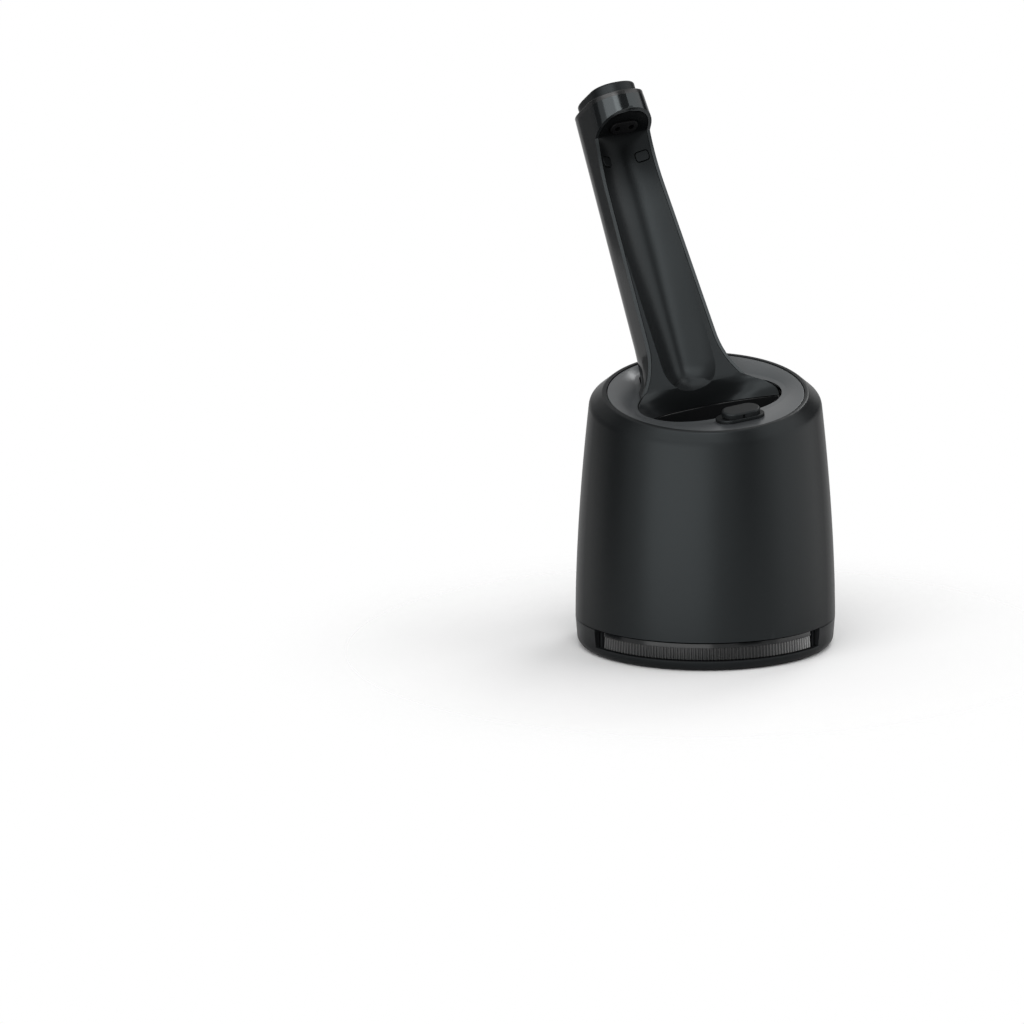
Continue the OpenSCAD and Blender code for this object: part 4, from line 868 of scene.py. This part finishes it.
p = np.roll(p, 12, 0)
rows = [on_back(p, 40.0), on_back(p, None), on_back(inner, None), on_back(inner * 0.97, SR - 0.6),
        on_back(inner * 0.97, SR - 8)]
socket = loft("power_socket_skin", rows)
place(edges(socket, 0.15, 2, 40), "housing", ["power_socket"], "socket_black")

# ---- inner nodes keep their shape ----
INNER = {
    "foot_rubber": ["rubber_feet"],
    "steel_bright": ["guide_posts", "lift_springs", "latch_pins", "latch_springs", "button_spring"],
    "steel_zinc": ["base_screws", "chassis_screws"],
    "lid_dark": ["cartridge_lid"],
    "seal_black": ["tray_seal", "drain_seal", "arm_cable"],
    "inner_grey": ["drain_pipe", "inner_chassis", "pump_chamber", "intake_pipe", "latch"],
    "motor_metal": ["pump_motor"],
    "impeller_pale": ["pump_rotor"],
    "hose_grey": ["delivery_hose"],
    "board_green": ["main_circuit_board", "hood_circuit_board"],
    "contact_gold": ["socket_pins"],
}
for slot, names in INNER.items():
    for name in names:
        NODE[name].data.materials.clear()
        NODE[name].data.materials.append(MAT[slot])

# ---- camera, floor and light ----
scene = bpy.context.scene
scene.view_settings.view_transform = "Standard"


def towards(azimuth, elevation):
    """The direction from the object to a place round it; azimuth 0 is the front, 90 its right side."""
    a, e = math.radians(azimuth), math.radians(elevation)
    return Vector((math.sin(a) * math.cos(e), -math.cos(a) * math.cos(e), math.sin(e)))


VIEW_AZIMUTH, VIEW_ELEVATION, VIEW_FAR, AIM_H, LENS = -1.5, 8.32, 1.2, 0.115, 100.7
back = towards(VIEW_AZIMUTH, VIEW_ELEVATION)
cam = bpy.data.objects.new("camera", bpy.data.cameras.new("camera"))
scene.collection.objects.link(cam)
cam.location = Vector((0, 0, AIM_H)) + back * VIEW_FAR
cam.rotation_mode = "QUATERNION"
cam.rotation_quaternion = (-back).to_track_quat("-Z", "Y")
cam.data.sensor_width, cam.data.lens = 36, LENS
cam.data.shift_x, cam.data.shift_y = -0.1888, -0.1360
cam.data.clip_start, cam.data.clip_end = 0.05, 50
scene.camera = cam

# The floor shows near the object, where its shadow lies, and fades into the white backdrop.
FADE_FROM, FADE_TO, BACKDROP, SOFT_LIGHT = 0.055, 0.2, 1.0, 0.36
floor = loft("floor", [at_z(circle(r, 96), -0.02) for r in (1500, 700, 300, 120, 40)], caps=(False, True))
m = bpy.data.materials.new("floor_pale")
m.use_nodes = True
t = m.node_tree
b = t.nodes["Principled BSDF"]
b.inputs["Base Color"].default_value = (0.95, 0.95, 0.95, 1)
b.inputs["Roughness"].default_value = 0.7
b.inputs["Specular IOR Level"].default_value = 0.2
g = t.nodes.new("ShaderNodeNewGeometry")
ln = t.nodes.new("ShaderNodeVectorMath")
ln.operation = "LENGTH"
t.links.new(g.outputs["Position"], ln.inputs[0])
fade = t.nodes.new("ShaderNodeMapRange")
fade.interpolation_type = "SMOOTHSTEP"
for k, v in (("From Min", FADE_FROM), ("From Max", FADE_TO), ("To Min", 1.0), ("To Max", 0.0)):
    fade.inputs[k].default_value = v
t.links.new(ln.outputs["Value"], fade.inputs["Value"])
t.links.new(fade.outputs["Result"], b.inputs["Alpha"])
floor.data.materials.append(m)

world = bpy.data.worlds.new("studio")
scene.world = world
world.use_nodes = True
t = world.node_tree
t.nodes.clear()
out, seen = t.nodes.new("ShaderNodeOutputWorld"), t.nodes.new("ShaderNodeLightPath")


def white(strength):
    b = t.nodes.new("ShaderNodeBackground")
    b.inputs["Color"].default_value, b.inputs["Strength"].default_value = (1, 1, 1, 1), strength
    return b.outputs["Background"]


def either(a, b):
    k = t.nodes.new("ShaderNodeMath")
    k.operation = "MAXIMUM"
    t.links.new(a, k.inputs[0])
    t.links.new(b, k.inputs[1])
    return k.outputs["Value"]


# The white backdrop is what the camera, gloss and glass see; the rest of the light from it is softer.
clear = either(seen.outputs["Is Glossy Ray"], seen.outputs["Is Transmission Ray"])
show = t.nodes.new("ShaderNodeMixShader")
t.links.new(either(seen.outputs["Is Camera Ray"], clear), show.inputs["Fac"])
t.links.new(white(SOFT_LIGHT), show.inputs[1])
t.links.new(white(BACKDROP), show.inputs[2])
t.links.new(show.outputs["Shader"], out.inputs["Surface"])


LIGHT_AIM = 0.11  # height that the lights and cards turn to


def softbox(name, azimuth, elevation, far, width, height, power):
    l = bpy.data.lights.new(name, "AREA")
    l.shape, l.size, l.size_y, l.energy = "RECTANGLE", width, height, power
    o = bpy.data.objects.new(name, l)
    scene.collection.objects.link(o)
    d = towards(azimuth, elevation)
    o.location = Vector((0, 0, LIGHT_AIM)) + d * far
    o.rotation_mode = "QUATERNION"
    o.rotation_quaternion = (-d).to_track_quat("-Z", "Y")


# name, azimuth, elevation, distance, width, height (degrees and metres), power (watts)
for light in (("key", -26, -1, 1.3, 1.5, 0.6, 7.2),
              ("key_high", -20, 38, 1.3, 1.5, 0.6, 7.4),
              ("bridge", 12, 38, 1.3, 0.5, 0.4, 1.6),
              ("above", -10, 78, 1.2, 1.0, 0.8, 2.5),
              ("behind", 152, 38, 1.2, 0.45, 0.4, 3.4),
              ("right", 95, 4, 1.3, 1.5, 0.9, 4.6),
              ("right_high", 85, 36, 1.3, 1.4, 0.5, 3.8),
              ("left", -138, 12, 1.2, 0.4, 1.1, 0.3)):
    softbox(*light)


def dark_card(name, azimuth, elevation, far, width, height, shade):
    """A card beside the object, out of the camera's sight, that draws a dark line in its gloss."""
    out = towards(azimuth, elevation)
    a = math.radians(azimuth)
    side, mid = Vector((math.cos(a), math.sin(a), 0)), Vector((0, 0, LIGHT_AIM * 1000)) + out * far * 1000
    up = out.cross(side)
    w, h = width * 500, height * 500
    corners = [mid + side * i * w + up * j * h for i, j in ((-1, -1), (1, -1), (1, 1), (-1, 1))]
    o = raw(name, corners, [(0, 1, 2, 3)])
    o.visible_camera = False
    o.data.materials.append(shade)


card_black = finish_of("card_black", (0.004, 0.004, 0.004), 0.9, bump=0, spec=0)
card_grey = finish_of("card_grey", (0.4, 0.4, 0.4), 0.9, bump=0, spec=0)
for card in (("card_right", 38, 24, 0.8, 0.33, 0.95, card_black),
             ("card_left", -92, 12, 0.8, 0.36, 0.75, card_black),
             ("card_side", -123, 8, 0.8, 0.5, 0.4, card_grey),
             ("card_rear", 127, 20, 0.8, 0.46, 0.3, card_black)):
    dark_card(*card)
